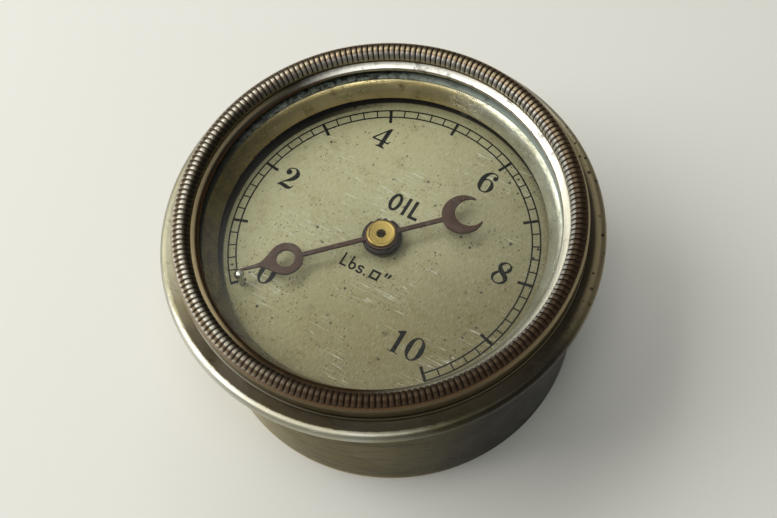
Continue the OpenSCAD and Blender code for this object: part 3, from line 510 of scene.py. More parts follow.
def silvered(name, c):
    """Silvered dial: fine grain, yellowed patches, black specks, smudges, scratches, painted shade over one side, and
    painted shadow near its edge under the reflector ring.
    """
    paint = Paint(name)
    broad = paint.noise(0.07, 4, 0.6, distortion=0.5)
    cloud = paint.noise(0.32, 5, 0.6)
    strokes = paint.node("ShaderNodeVectorMath", {"operation": "MULTIPLY"}, {0: paint.place, 1: (9, 1.2, 1)})
    grain = paint.noise(1, 3, 0.6, strokes)
    dust = paint.noise(7, 3, 0.7)
    below = paint.band(paint.y * -1 + paint.x * 0.45 + broad * 9, 2, 22)
    rim = paint.band(paint.r + cloud * 1.2, 20.9, 23.0)
    yellow = (below * 0.7 + paint.band(cloud, 0.5, 0.75) * 0.4 + rim * 0.25).math("MINIMUM", 1)
    dense = paint.band(paint.noise(0.16, 3), 0.42, 0.6)
    for x, y, wide in DUSTY:
        dense = dense + paint.band(paint.off(x, y), wide, wide * 0.2)
    dots = (paint.specks(2.9, 0.42, 0.6) * dense).math("MINIMUM", 1) * 0.8 + paint.specks(1.9, 0.34, 0.3) * 0.6
    dots = dots + paint.specks(1.1, 0.3, 0.35) * paint.band(dense, 0.1, 0.8) + paint.specks(0.55, 0.13, 0.4) * 0.8
    for x, y, wide, strength in SMUDGES:
        near = paint.off(x, y) + (cloud + dust * 0.6 - 0.8) * wide * 2.6
        dots = dots + paint.band(near, wide, wide * 0.1) * strength
    hair = paint.scratches(1.25, 14, 0.5, 0.012) * paint.band(paint.noise(0.15, 2), 0.5, 0.62)
    ragged = paint.r + dust * 0.1
    colour = paint.coats(
        c.silver,
        (c.aged, yellow),
        # Painted shade over the side towards -20 degrees
        (c.stain, paint.band(paint.toward(-20) + broad * 8, -8, 24) * 0.48),
        (c.stain, paint.band(paint.noise(0.5, 6, 0.75), 0.6, 0.8) * 0.3),
        (c.stain, paint.band(grain, 0.45, 0.8) * 0.35),
        (c.bright, paint.band(grain, 0.5, 0.25) * 0.2),
        (c.stain, paint.band(dust, 0.54, 0.75) * 0.45),
        (c.ink, dots.math("MINIMUM", 1) * 0.85),
        (c.bright, hair * 0.6),
        # Painted shadow under the reflector ring's lip
        (c.grime_and_shade, paint.band(ragged, 22.5, 22.72) * 0.96),
        # Painted shadow of the ring's lip on the left side
        (c.grime_and_shade, paint.band(ragged, 21.75, 22.05) * paint.band(paint.toward(180), 8, 19) * 0.97),
    )
    rough = 0.4 + cloud * 0.16 + dust * 0.1
    return paint.finish(colour, rough, 0.15, grain * 0.5 + dust * 0.5 - dots, 0.008, Specular_IOR_Level=0.4)


def printed(name, ink):
    """Matt printing ink with worn edges."""
    paint = Paint(name)
    fine = paint.noise(6, 4, 0.7)
    worn = paint.band(paint.noise(1.6, 5, 0.7), 0.6, 0.76)
    colour = paint.mix(ink, WORN_INK, worn * 0.7)
    return paint.finish(colour, 0.62 + fine * 0.25, 0, fine, 0.004, Specular_IOR_Level=0.2)


def browned(name, main, edge, gloss=0.36):
    """Browned steel: mottled, with a little bare metal where it is rubbed."""
    paint = Paint(name)
    mottle = paint.noise(1.1, 5, 0.65)
    fine = paint.noise(6, 4, 0.7)
    rubbed = paint.band(paint.noise(0.6, 4, 0.6), 0.52, 0.72)
    bare = (edge, rubbed * 0.15 + paint.band(fine, 0.62, 0.8) * 0.2)
    colour = paint.coats(main, bare, (SOOT, paint.band(mottle, 0.5, 0.72) * 0.5))
    return paint.finish(colour, gloss + mottle * 0.2 + fine * 0.1, 0.5, fine * 0.6 + mottle, 0.012)


def pressed(name, main, dark, pale=None):
    """Pressed fibre or packing: matt, with short fibres and perhaps pale patches on one side, partly bloom and partly
    painted sheen.
    """
    paint = Paint(name)
    lanes = paint.node("ShaderNodeVectorMath", {"operation": "MULTIPLY"}, {0: paint.place, 1: (2, 9, 9)})
    fibres = paint.noise(1, 4, 0.7, lanes)
    cloud = paint.noise(1.3, 5, 0.65)
    colour = paint.mix(main, dark, paint.band(fibres, 0.4, 0.7) * 0.5 + cloud * 0.2)
    if pale:
        # Pale towards 45 to 90 degrees: partly bloom, partly painted sheen
        near = paint.band(paint.toward(45), 4, 17)
        lit = paint.band(paint.toward(90), -4, 14) * paint.band(cloud + fibres * 0.3, 0.5, 0.8)
        colour = paint.mix(colour, pale, (lit + near * 0.8).math("MINIMUM", 1))
    return paint.finish(colour, 0.7 + fibres * 0.2, 0, fibres, 0.02)


def clear(name):
    """Flat glass: lets light through, mirrors a little, with a trace of dust."""
    paint = Paint(name)
    dust = paint.band(paint.noise(0.5, 6, 0.75), 0.55, 0.85)
    facing = paint.node("ShaderNodeFresnel", {}, {"IOR": 1.45})
    mirror = {"Base Color": (0.9, 0.9, 0.9), "Metallic": 1.0, "Roughness": 0.2 + dust * 0.1}
    solid = paint.node("ShaderNodeBsdfPrincipled", {}, mirror)
    through = paint.node("ShaderNodeBsdfTransparent", {}, {"Color": (0.97, 0.985, 0.97)})
    share = facing * 0.16 + dust * 0.006
    paint.node_out(paint.node("ShaderNodeMixShader", {}, {0: share, 1: through, 2: solid}))
    return paint.material


def matt_floor(name, colour):
    """Plain pale floor with a faint tooth."""
    paint = Paint(name)
    tooth = paint.noise(0.4, 5, 0.6)
    shade = paint.mix(colour, GREY, (tooth - 0.4) * 0.12, "OVERLAY")
    return paint.finish(shade, 0.75 + tooth * 0.15, 0, tooth, 0.02)


def finishes(scene):
    """Every finish of the gauge by its slot, made once."""
    made = {m.name: m for m in bpy.data.materials}
    if "case_metal_finish" not in made:
        c, s = scene.gauge_colours, scene.gauge_sizes
        turned("case_metal_finish", c.nickel, c.bare, c.stain, 0.62, 0.24, 0.6, 9, metal=0.8, dress=soiled_and_shaded_case(c))
        ring = {"metal": 0.8, "dress": tarnished_and_shaded_ring(c)}
        turned("reflector_metal_finish", c.bright, c.nickel, c.stain, 0.4, 0.15, 0.5, 6, 0.02, **ring)
        milled("bezel_metal_finish", c, s)
        turned("brass_finish", c.brass, c.bare, c.stain, 0.4, 0.3, 0.35, 10)
        turned("hub_brass_finish", c.hub, c.brass, c.stain, 0.35, 0.3, 0.45, 22, 0.02, dress=dark_centre(c))
        turned("tube_bronze_finish", c.bronze, c.stain, c.stain, 0.25, 0.32, 0.3, 6)
        turned("steel_finish", c.steel, c.stain, c.stain, 0.1, 0.26, 0.4, 16)
        turned("pin_metal_finish", c.bright, c.nickel, c.stain, 0.3, 0.12, 0.2, 16, 0.006)
        browned("spring_steel_finish", c.spring, c.steel, 0.25)
        browned("pointer_steel_finish", c.plum, c.steel)
        browned("collar_steel_finish", c.collar, c.plum, 0.34)
        pressed("fibre_finish", c.fibre, c.grime_and_shade)
        pressed("gasket_finish", c.gasket, c.grime_and_shade, c.bloom_and_sheen)
        silvered("dial_silver_finish", c)
        printed("ink_finish", c.ink)
        clear("glass_finish")
        matt_floor("floor_finish", c.floor)
        made = {m.name: m for m in bpy.data.materials}
    return {name.removesuffix("_finish"): m for name, m in made.items() if name.endswith("_finish")}


# ---------------------------------------------------------------- mesh tools


def added(context, name, data):
    """A new object in the scene, at the origin."""
    made = bpy.data.objects.new(name, data)
    context.scene.collection.objects.link(made)
    return made


def keep(context, bm, name, slot, body="case", nodes=(), sharp=32, finish=None):
    bmesh.ops.remove_doubles(bm, verts=bm.verts, dist=1e-7)
    bmesh.ops.recalc_face_normals(bm, faces=bm.faces)
    if not bm.faces:
        raise RuntimeError(f"{name} has no faces")
    mesh = bpy.data.meshes.new(name)
    bm.to_mesh(mesh)
    bm.free()
    mesh.shade_smooth()
    mesh.set_sharp_from_angle(angle=math.radians(sharp))
    mesh.materials.append(finishes(context.scene)[finish or slot])
    piece = added(context, name, mesh)
    if isinstance(body, str):
        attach(piece, body)
    else:
        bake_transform(piece)
    if nodes:
        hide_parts(*nodes)


def soften(bm, geom, width, segments, affect):
    """Rounds edges, or the corners of a flat section, by a width in millimetres."""
    bmesh.ops.bevel(
        bm, geom=geom, offset=width * MM, offset_type="OFFSET", affect=affect,
        segments=segments, profile=0.5, material=-1, clamp_overlap=True,
    )


def spun(bm, geom, angle, steps, full=True):
    """Sweeps a section round the axis."""
    bmesh.ops.spin(bm, geom=geom, cent=(0, 0, 0), axis=(0, 0, 1), angle=angle, steps=steps, use_merge=full)


def turn_round(bm, angle):
    """Turns a mesh about the axis."""
    bmesh.ops.rotate(bm, verts=bm.verts, cent=(0, 0, 0), matrix=Matrix.Rotation(angle, 3, "Z"))


def lathed(section, steps):
    """A closed section (radius, height and, if it differs, the size of its broken edge) turned round the axis."""
    bm = bmesh.new()
    rim = [bm.verts.new((point[0] * MM, 0, point[1] * MM)) for point in section]
    bm.faces.new(rim)
    eased = {}
    for vert, point in zip(rim, section):
        width = point[2] if len(point) > 2 else EDGE
        if width and point[0]:
            eased.setdefault(width, []).append(vert)
    for width, verts in eased.items():
        soften(bm, verts, width, 6 if width > 0.3 else 4 if width > 0.15 else 2, "VERTICES")
    bm.faces.ensure_lookup_table()
    filled = bm.faces[-1]
    edges = list(filled.edges)
    bmesh.ops.delete(bm, geom=[filled], context="FACES_ONLY")
    on_axis = [e for e in edges if all(abs(v.co.x) < 1e-7 for v in e.verts)]
    edges = [e for e in edges if e not in on_axis]
    bmesh.ops.delete(bm, geom=on_axis, context="EDGES")
    verts = list(dict.fromkeys(v for e in edges for v in e.verts))
    spun(bm, verts + edges, math.tau, steps)
    return bm


def flat(bm, loops, z, thickness, soft=0):
    """Loops of points in the plan, filled, with the inner ones as holes, given a thickness and soft edges."""
    edges = []
    for loop in loops:
        verts = [bm.verts.new((x * MM, y * MM, z * MM)) for x, y in loop]
        edges += [bm.edges.new(pair) for pair in zip(verts, verts[1:] + verts[:1])]
    filled = bmesh.ops.triangle_fill(bm, edges=edges, use_beauty=True)["geom"]
    faces = [g for g in filled if isinstance(g, bmesh.types.BMFace)]
    if not faces:
        raise RuntimeError("an outline could not be filled")
    raised = bmesh.ops.extrude_face_region(bm, geom=faces)["geom"]
    verts = [g for g in raised if isinstance(g, bmesh.types.BMVert)]
    bmesh.ops.translate(bm, verts=verts, vec=(0, 0, thickness * MM))
    if soft:
        moved = set(verts)
        rim = dict.fromkeys(e for v in verts for e in v.link_edges if e.other_vert(v) in moved)
        soften(bm, [e for e in rim if len(e.link_faces) == 2 and e.calc_face_angle(0) > 0.8], soft, 3, "EDGES")


def arc(centre, r, start, end, parts):
    """Points on an arc of the plan."""
    middle = Vector(centre)
    return [middle + at(r, start + (end - start) * i / parts) for i in range(parts + 1)]


def smooth(points, closed):
    """Points with a width, joined by a smooth curve in six parts from each to the next."""
    n = len(points)
    if n == 2:
        return points
    pick = (lambda i: points[i % n]) if closed else (lambda i: points[max(0, min(n - 1, i))])
    found = []
    for i in range(n if closed else n - 1):
        a, b, c, d = (Vector(pick(i + k)) for k in (-1, 0, 1, 2))
        for t in (k / 6 for k in range(6)):
            curve = 2 * b + (c - a) * t + (2 * a - 5 * b + 4 * c - d) * t**2 + (3 * b - a - 3 * c + d) * t**3
            found.append(0.5 * curve)
    return found if closed else found + [Vector(points[-1])]


def stroke(points, closed=False):
    """Outline of a pen stroke that runs through points (x, y, width)."""
    run = [Vector(p) for p in smooth(points, closed)]
    sides = ([], [])
    for i, p in enumerate(run):
        before = run[i - 1] if i or closed else p
        after = run[(i + 1) % len(run)] if i < len(run) - 1 or closed else p
        way = (after - before).to_2d().normalized()
        across = Vector((-way.y, way.x)) * p.z / 2
        sides[0].append(p.to_2d() + across)
        sides[1].append(p.to_2d() - across)
    return [sides[0], sides[1]] if closed else [sides[0] + sides[1][::-1]]


def bowl(x, y, a, b, thin, thick, lean=0):
    """Closed oval stroke inside the half axes a and b, thick at its sides."""
    points = []
    for i in range(16):
        t = math.tau * i / 16
        w = thin + (thick - thin) * math.cos(t - math.radians(lean)) ** 2
        points.append((x + (a - w / 2) * math.cos(t), y + (b - w / 2) * math.sin(t), w))
    return stroke(points, True)


def dot(x, y, r):
    """A filled round spot."""
    return [arc((x, y), r, 0, 345, 23)]


def signs():
    """The dial's figures and letters on a height of 1: the width of each, and the closed shapes it is made of."""
    return {
        "0": (0.7, [bowl(0.35, 0.5, 0.35, 0.5, 0.055, 0.2)]),
        "1": (0.42, [
            [[(0.13, 0.02), (0.13, 0.8), (0.02, 0.82), (0.02, 0.88), (0.22, 1.0), (0.31, 1.0), (0.31, 0.02)]],
            [[(0.0, 0.0), (0.44, 0.0), (0.44, 0.035), (0.0, 0.035)]],
        ]),
        "2": (0.7, [
            dot(0.17, 0.73, 0.125),
            stroke([(0.05, 0.76, 0.03), (0.13, 0.9, 0.05), (0.3, 0.975, 0.05), (0.45, 0.93, 0.1),
                    (0.555, 0.76, 0.2), (0.5, 0.56, 0.2), (0.36, 0.4, 0.13), (0.2, 0.26, 0.065),
                    (0.07, 0.1, 0.045)]),
            stroke([(0.02, 0.02, 0.03), (0.13, 0.1, 0.13), (0.3, 0.1, 0.17), (0.48, 0.075, 0.15), (0.6, 0.12, 0.08),
                    (0.67, 0.24, 0.02)]),
        ]),
        "4": (0.78, [
            [[(0.5, 1.0), (0.61, 1.0), (0.58, 0.92), (0.58, 0.1), (0.7, 0.03), (0.7, 0.0), (0.28, 0.0),
              (0.28, 0.03), (0.4, 0.1), (0.4, 0.26), (0.0, 0.26), (0.0, 0.33)],
             [(0.4, 0.77), (0.4, 0.335), (0.095, 0.335)]],
            [[(0.57, 0.26), (0.74, 0.26), (0.79, 0.42), (0.76, 0.43), (0.71, 0.335), (0.57, 0.335)]],
        ]),
        "6": (0.7, [
            bowl(0.37, 0.32, 0.33, 0.32, 0.05, 0.18),
            dot(0.59, 0.77, 0.105),
            stroke([(0.68, 0.8, 0.03), (0.61, 0.92, 0.05), (0.47, 0.97, 0.05), (0.32, 0.93, 0.09), (0.19, 0.78, 0.16),
                    (0.125, 0.56, 0.2), (0.13, 0.32, 0.185), (0.2, 0.13, 0.1)]),
        ]),
        "8": (0.7, [
            bowl(0.36, 0.76, 0.28, 0.24, 0.05, 0.14, 165),
            bowl(0.34, 0.28, 0.33, 0.28, 0.05, 0.13, 165),
            stroke([(0.14, 0.84, 0.1), (0.19, 0.66, 0.17), (0.34, 0.53, 0.19), (0.5, 0.41, 0.18), (0.59, 0.24, 0.12)]),
        ]),
        "O": (0.62, [bowl(0.31, 0.5, 0.31, 0.5, 0.15, 0.17)]),
        "I": (0.17, [stroke([(0.085, 0, 0.17), (0.085, 1, 0.17)])]),
        "L": (0.5, [[[(0, 0), (0.5, 0), (0.5, 0.16), (0.17, 0.16), (0.17, 1), (0, 1)]]]),
        "l": (0.5, [[[(0, 0), (0.5, 0), (0.5, 0.14), (0.14, 0.14), (0.14, 1), (0, 1)]]]),
        "b": (0.5, [bowl(0.26, 0.29, 0.26, 0.29, 0.13, 0.14), stroke([(0.07, 0.3, 0.14), (0.07, 1, 0.14)])]),
        "s": (0.5, [stroke([(0.45, 0.47, 0.13), (0.3, 0.55, 0.13), (0.1, 0.5, 0.13), (0.13, 0.35, 0.13),
                            (0.36, 0.27, 0.13), (0.42, 0.13, 0.13), (0.24, 0.05, 0.13), (0.03, 0.12, 0.13)])]),
        ".": (0.14, [dot(0.07, 0.07, 0.08)]),
        "q": (0.68, [[
            [(0, 0.04), (0.68, 0.04), (0.68, 0.72), (0, 0.72)],
            [(0.15, 0.19), (0.15, 0.57), (0.53, 0.57), (0.53, 0.19)],
        ]]),
        "'": (0.14, [stroke([(0.06, 0.56, 0.13), (0.12, 0.9, 0.17)])]),
        " ": (0.02, []),
    }


def write(bm, text, x, y, height, gap, z, thickness):
    """Sets a text on the dial, upright and centred, each shape a hair higher than the one before."""
    drawn = signs()
    width = sum(drawn[t][0] for t in text) + gap * (len(text) - 1)
    start, foot = x / height - width / 2, y / height - 0.5
    for sign in text:
        wide, shapes = drawn[sign]
        for k, loops in enumerate(shapes):
            placed = [[((start + p[0]) * height, (foot + p[1]) * height) for p in loop] for loop in loops]
            flat(bm, placed, z, thickness * (1 + 0.12 * k))
        start += wide + gap


# ---------------------------------------------------------------- pieces


class GAUGE_OT_case(bpy.types.Operator):
    """Turned body and the front ring that is soldered on it"""

    bl_idname = "gauge.case"
    bl_label = "Case"
    bl_options = {"REGISTER", "UNDO"}

    def execute(self, context):
        out, height, ledge = radius("case_shell"), top("case_shell"), low("dial")
        spigot, lap, hole, wall, recess = out - 0.8, height - 0.6, 22.6, 24.7, 25.1
        step, under = top("back_plate") + 0.002, ledge - 1
        body = [
            (out, 0, 0.3), (out, lap, 0.04), (spigot, lap, 0.02), (spigot, height, 0.02),
            (MOUTH, height, 0.02), (MOUTH, ledge), (hole, ledge), (hole, under),
            (wall, under, 0.2), (wall, step, 0.03), (recess, step, 0.03), (recess, 0, 0.15),
        ]
        keep(context, lathed(body, 288), "case_body", "case_metal", nodes=["case_shell"])
        flange, upper, rear = radius("flange_ring"), top("flange_ring"), low("flange_ring")
        neck, relief, seat, shelf, face = out - 0.2, 26.6, 25.2, 25.3, rear + 1.7
        ring = [
            (MOUTH, height, 0.02), (relief, height, 0.02), (relief, rear, 0.04), (flange, rear, 0.8),
            (flange, face, 0.8), (neck, face, 0.1), (neck, upper, 0.12), (seat, upper, 0.1),
            (seat, shelf, 0.04), (MOUTH, shelf, 0.04),
        ]
        keep(context, lathed(ring, 288), "front_ring", "case_metal", nodes=["flange_ring"])
        return {"FINISHED"}


class GAUGE_OT_bezel(bpy.types.Operator):
    """Screwed bezel with its milled bead"""

    bl_idname = "gauge.bezel"
    bl_label = "Bezel"
    bl_options = {"REGISTER", "UNDO"}

    def execute(self, context):
        sizes = context.scene.gauge_sizes
        bead, rib, middle_r, middle_z = bead_section(sizes)
        foot, thread, skirt = low("bezel"), 26.2, 27.4
        under = foot + 1.4
        # Degrees round the bead's section: its ends, where the ribs start, and over how much they rise and fade
        first, last, ribbed, rise, fade, dip_at, dip_half = -8, 232, 34, 12, 70, 66, 27
        round_bead = [(middle_r + bead * math.cos(a), middle_z + bead * math.sin(a), 0)
                      for a in (math.radians(a) for a in range(first, last + 1, 12))]
        lip = [
            (25.08, under + 0.52, 0.05), (24.95, under + 0.84, 0.06), (OPENING, under + 0.44, 0.16),
            (OPENING, under, 0.05), (thread, under, 0.04), (thread, foot, 0.1), (skirt, foot, 0.08),
            (skirt, foot + 0.3, 0.08), (27.2, foot + 0.5, 0.1),
        ]
        # Height of a rib at each of its points round the bezel, as a share of half its full height
        swell = (-0.5, 0.8, 1, 1, 0.8)
        steps = sizes.ribs * len(swell)
        bm = lathed(round_bead + lip, steps)
        for vert in bm.verts:
            r = math.hypot(vert.co.x, vert.co.y)
            out, up = r / MM - middle_r, vert.co.z / MM - middle_z
            angle = math.degrees(math.atan2(up, out)) % 360
            if abs(math.hypot(out, up) - bead) > 0.02 or not first < angle < last:
                continue
            share = min(1, max(0, (angle - ribbed) / rise), max(0, last - angle) / fade)
            dip = DIP * math.cos(math.radians(90 * min(1, abs(angle - dip_at) / dip_half))) ** 2
            turn = math.atan2(vert.co.y, vert.co.x) / math.tau * steps
            height = share * swell[round(turn) % len(swell)] + (1 - share) * (angle < 90)
            lift = (rib / 2 * height - dip) / bead
            vert.co.xy += vert.co.xy / r * out * lift * MM
            vert.co.z += up * lift * MM
        keep(context, bm, "milled_bezel", "bezel_metal", "bezel", ["bezel"], 55)
        return {"FINISHED"}


class GAUGE_OT_glazing(bpy.types.Operator):
    """Glass, its gasket and the dished reflector ring"""

    bl_idname = "gauge.glazing"
    bl_label = "Glazing"
    bl_options = {"REGISTER", "UNDO"}

    def execute(self, context):
        r, base, crown = radius("glass"), low("glass"), top("glass")
        pane = [(0, base), (r, base, 0.15), (r, crown, 0.15), (0, crown)]
        keep(context, lathed(pane, 192), "flat_glass", "glass", "glass", ["glass"])
        bed = low("glass_gasket")
        packing = [(r, bed, 0.03), (r, base, 0.03), (OPENING, base, 0.1), (OPENING, bed, 0.05)]
        keep(context, lathed(packing, 192), "packing_ring", "gasket", nodes=["glass_gasket"])
        rim = [(r, bed - 0.5, 0.05), (r, bed, 0.05), (OPENING, bed, 0.12)]
        dish = [(23.44, bed - 0.294, 0.3), (22.9, bed - 0.945, 0.12), (22.84, bed - 1.07, 0.08)]
        lip = [(22.24, bed - 2.08, 0.12), (22.34, bed - 2.38, 0.12), (22.68, bed - 2.3, 0.1)]
        back = [(23.25, bed - 1.3, 0.2), (23.75, bed - 0.5, 0.1)]
        bm = lathed(rim + dish + lip + back, 288)
        keep(context, bm, "dished_reflector", "reflector_metal", nodes=["reflector_ring"])
        return {"FINISHED"}


class GAUGE_OT_dial(bpy.types.Operator):
    """Silvered dial and the stop pin in it"""

    bl_idname = "gauge.dial"
    bl_label = "Dial"
    bl_options = {"REGISTER", "UNDO"}

    def execute(self, context):
        face, under, r, hole = top("dial"), low("dial"), radius("dial"), 1.6
        plate = [(hole, under, 0.04), (r, under, 0.04), (r, face, EDGE), (hole, face, EDGE)]
        keep(context, lathed(plate, 192), "silvered_dial", "dial_silver", nodes=["dial"])
        lowest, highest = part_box("stop_pin")
        foot, tip, shank, head = low("stop_pin"), top("stop_pin"), 0.45, 0.7
        rest = tip - head
        pin = [(0, foot), (shank, foot, 0.05), (shank, rest, 0.02), (head, rest, EDGE)]
        pin += [(head * math.cos(a), rest + head * math.sin(a), 0) for a in (math.radians(12 * i) for i in range(1, 8))]
        bm = lathed(pin + [(0, tip)], 48)
        middle = (lowest + highest) / 2
        bmesh.ops.translate(bm, verts=bm.verts, vec=(middle.x, middle.y, 0))
        keep(context, bm, "stop_pin_turned", "pin_metal", nodes=["stop_pin"])
        return {"FINISHED"}


class GAUGE_OT_printing(bpy.types.Operator):
    """Printed scale, figures and words"""

    bl_idname = "gauge.printing"
    bl_label = "Printing"
    bl_options = {"REGISTER", "UNDO"}

    def execute(self, context):
        sizes = context.scene.gauge_sizes
        face, ink = top("dial"), sizes.ink / MM
        outer, wide = sizes.scale_radius / MM, sizes.arc_width / MM
        inner = outer - sizes.scale_width / MM
        first, step, marks, to_figure = 225, 5.4, 51, 5
        last = first - step * (marks - 1)
        bm = bmesh.new()
        for r in (outer, inner):
            line = arc((0, 0), r + wide / 2, last, first, 180) + arc((0, 0), r - wide / 2, first, last, 180)
            flat(bm, [line], face, ink)
        for k in range(marks):
            start, end, width, height = inner, outer, sizes.minor_width / MM, 1.15
            if k % to_figure == 0:
                start, end = outer - sizes.mark_length / MM, outer + wide / 2
                width, height = sizes.mark_width / MM, 1.3
            way = at(1, first - step * k)
            side = Vector((-way.y, way.x)) * width / 2
            flat(bm, [[way * start - side, way * end - side, way * end + side, way * start + side]], face, ink * height)
        keep(context, bm, "printed_scale", "dial_silver", finish="ink")

        # Middle of each figure, as a share of the scale's radius
        bm = bmesh.new()
        for text, x, y in (("0", -0.541, -0.537), ("2", -0.786, 0.128), ("4", -0.397, 0.685),
                           ("6", 0.382, 0.693), ("8", 0.776, 0.152), ("10", 0.503, -0.555)):
            write(bm, text, x * outer, y * outer, sizes.figure_height / MM, 0.17, face, ink)
        keep(context, bm, "printed_figures", "dial_silver", finish="ink")

        bm = bmesh.new()
        write(bm, "OIL", 0, 0.29 * outer, sizes.word_height / MM, 0.2, face, ink)
        write(bm, "lbs. q ''", 0, -0.22 * outer, sizes.unit_height / MM, 0.12, face, ink)
        keep(context, bm, "printed_words", "dial_silver", finish="ink")
        return {"FINISHED"}


class GAUGE_OT_pointer(bpy.types.Operator):
    """Pointer with its eye and crescent, the notched collar and the turned bush"""

    bl_idname = "gauge.pointer"
    bl_label = "Pointer"
    bl_options = {"REGISTER", "UNDO"}

    def execute(self, context):
        under, over = low("pointer"), top("pointer")
        # Radii of the eye, the boss and the crescent, where they stand along the arm, and half the arm's width
        tip, eye, eye_hole, eye_at, boss, half = 20.2, 2.35, 1.28, 13.2, 2.3, 0.3
        tail, tail_at, hollow, hollow_at = 2.9, -11.3, 2.088, -12.3
        shoulder = at(eye, 50)
        hold = shoulder + 0.68 * Vector((shoulder.y, -shoulder.x))
        flank = (shoulder, hold, Vector((3.22, 0.3)), Vector((3.99, 0.23)))
        side = [(tip, 0.08)]
        for i in range(12, -1, -1):
            t = i / 12
            shares = ((1 - t) ** 3, 3 * t * (1 - t) ** 2, 3 * t * t * (1 - t), t**3)
            p = sum((point * share for point, share in zip(flank, shares)), Vector((eye_at, 0)))
            side.append((p.x, p.y))
        leave = {r: math.degrees(math.asin(half / r)) for r in (eye, boss, tail)}
        side += arc((eye_at, 0), eye, 54, 180 - leave[eye], 26)
        side += arc((0, 0), boss, leave[boss], 180 - leave[boss], 30)
        side += arc((tail_at, 0), tail, leave[tail], 139.5, 30)
        side += arc((hollow_at, 0), hollow, 125.2, 0, 30)
        side = [Vector(p) for p in side]
        outline = side + [Vector((p.x, -p.y)) for p in side[-2::-1]]
        bm = bmesh.new()
        flat(bm, [outline, arc((eye_at, 0), eye_hole, 0, 352.5, 47)], under, over - under, 0.1)
        # At rest the needle lies against the stop pin, whose middle is this far out and this far beside it
        lowest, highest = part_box("stop_pin")
        pin_at, beside = 19.7, 0.99
        turn_round(bm, math.atan2(lowest.y + highest.y, lowest.x + highest.x) - math.asin(beside / pin_at))
        keep(context, bm, "browned_pointer", "pointer_steel", "spindle", ["pointer"], 28)

        # The collar's upper edge has three notches
        base, crown, hole, wide = low("hub_collar"), top("hub_collar"), 1.3, 2.7
        upper, notches = crown - 0.001, (99, 120, 141)
        bm = lathed([(hole, base), (wide, base, 0.15), (wide, upper, 0.1), (hole, upper)], 96)
        for vert in bm.verts:
            angle = math.degrees(math.atan2(vert.co.y, vert.co.x))
            r = math.hypot(vert.co.x, vert.co.y) / MM
            if vert.co.z / MM > crown - 0.35 and r > 2.3 and min(abs(angle - notch) for notch in notches) < 5.5:
                vert.co.xy *= 0.86
                vert.co.z -= 0.12 * MM
        keep(context, bm, "notched_collar", "collar_steel", "spindle", ["hub_collar"], 30)

        base = low("pointer_bush")
        bush = [
            (0, over + 0.203), (0.4, over + 0.203, 0.001), (0.4, base, 0.02), (hole, base, EDGE), (hole, over, 0.02),
            (2.0, over, 0.05), (2.0, over + 0.34, 0.1), (1.72, over + 0.4, 0.04), (1.6, over + 0.33, 0.04),
            (0.68, over + 0.33, 0.05), (0.5, over + 0.22, 0.02), (0, over + 0.215),
        ]
        keep(context, lathed(bush, 96), "turned_bush", "hub_brass", "spindle", ["pointer_bush"], 30)
        return {"FINISHED"}


class GAUGE_OT_rear(bpy.types.Operator):
    """Back nut and washer"""

    bl_idname = "gauge.rear"
    bl_label = "Rear fittings"
    bl_options = {"REGISTER", "UNDO"}

    def execute(self, context):
        base, crown = low("back_nut"), top("back_nut")
        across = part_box("back_nut")[1].y / MM
        corners = [at(across / math.cos(math.radians(30)), 60 * i) for i in range(6)]
        bm = bmesh.new()
        flat(bm, [corners, arc((0, 0), BORE, 0, 356.25, 95)], base, crown - base, 0.25)
        keep(context, bm, "hexagon_nut", "brass", nodes=["back_nut"])
        r, under, over = radius("nut_washer"), low("nut_washer"), top("nut_washer")
        washer = [(BORE, under, 0.04), (r, under, 0.12), (r, over, 0.08), (BORE, over, 0.04)]
        keep(context, lathed(washer, 96), "fibre_washer", "fibre", nodes=["nut_washer"])
        return {"FINISHED"}


class GAUGE_OT_tube(bpy.types.Operator):
    """Flattened pressure tube, curved round between its socket and its free end"""

    bl_idname = "gauge.tube"
    bl_label = "Pressure tube"
    bl_options = {"REGISTER", "UNDO"}

    def execute(self, context):
        base, crown, wide, tip, root = low("bourdon_tube"), top("bourdon_tube"), 2.0, -16, 260
        # The case's wall and the room inside it, the degrees of tube held in its socket, and the path's height
        wall, room, held_in, level = 1.4, 2.7, 14, 0.0157
        run = radius("case_shell") - wall - room - wide / 2
        reach = (crown - base - wide) / 2
        bm = bmesh.new()
        rim = []
        for k in range(24):
            p = at(wide / 2, 15 * k)
            z = p.y + (base + crown) / 2 + (reach if k < 12 else -reach)
            rim.append(bm.verts.new(((run + p.x) * MM, 0, z * MM)))
        edges = [bm.edges.new(pair) for pair in zip(rim, rim[1:] + rim[:1])]
        turn_round(bm, math.radians(tip))
        spun(bm, rim + edges, math.radians(root - tip), 138, False)
        bmesh.ops.holes_fill(bm, edges=[e for e in bm.edges if e.is_boundary], sides=0)
        held, free = at(run * MM, root - held_in), at(run * MM, tip)
        path = ("case", "tube_tip", (*held, level), (*free, level))
        keep(context, bm, "pressure_tube", "tube_bronze", path, ["bourdon_tube"], 50)
        return {"FINISHED"}


class GAUGE_OT_movement(bpy.types.Operator):
    """Finishes of the pieces that keep their CAD shape"""

    bl_idname = "gauge.movement"
    bl_label = "Movement"
    bl_options = {"REGISTER", "UNDO"}

    def execute(self, context):
        made = finishes(context.scene)
        for part in frame["record"]["subparts"]:
            mesh = frame["nodes"][part["node"]].data
            mesh.materials.clear()
            mesh.materials.append(made[part["material_slot"]])
        return {"FINISHED"}


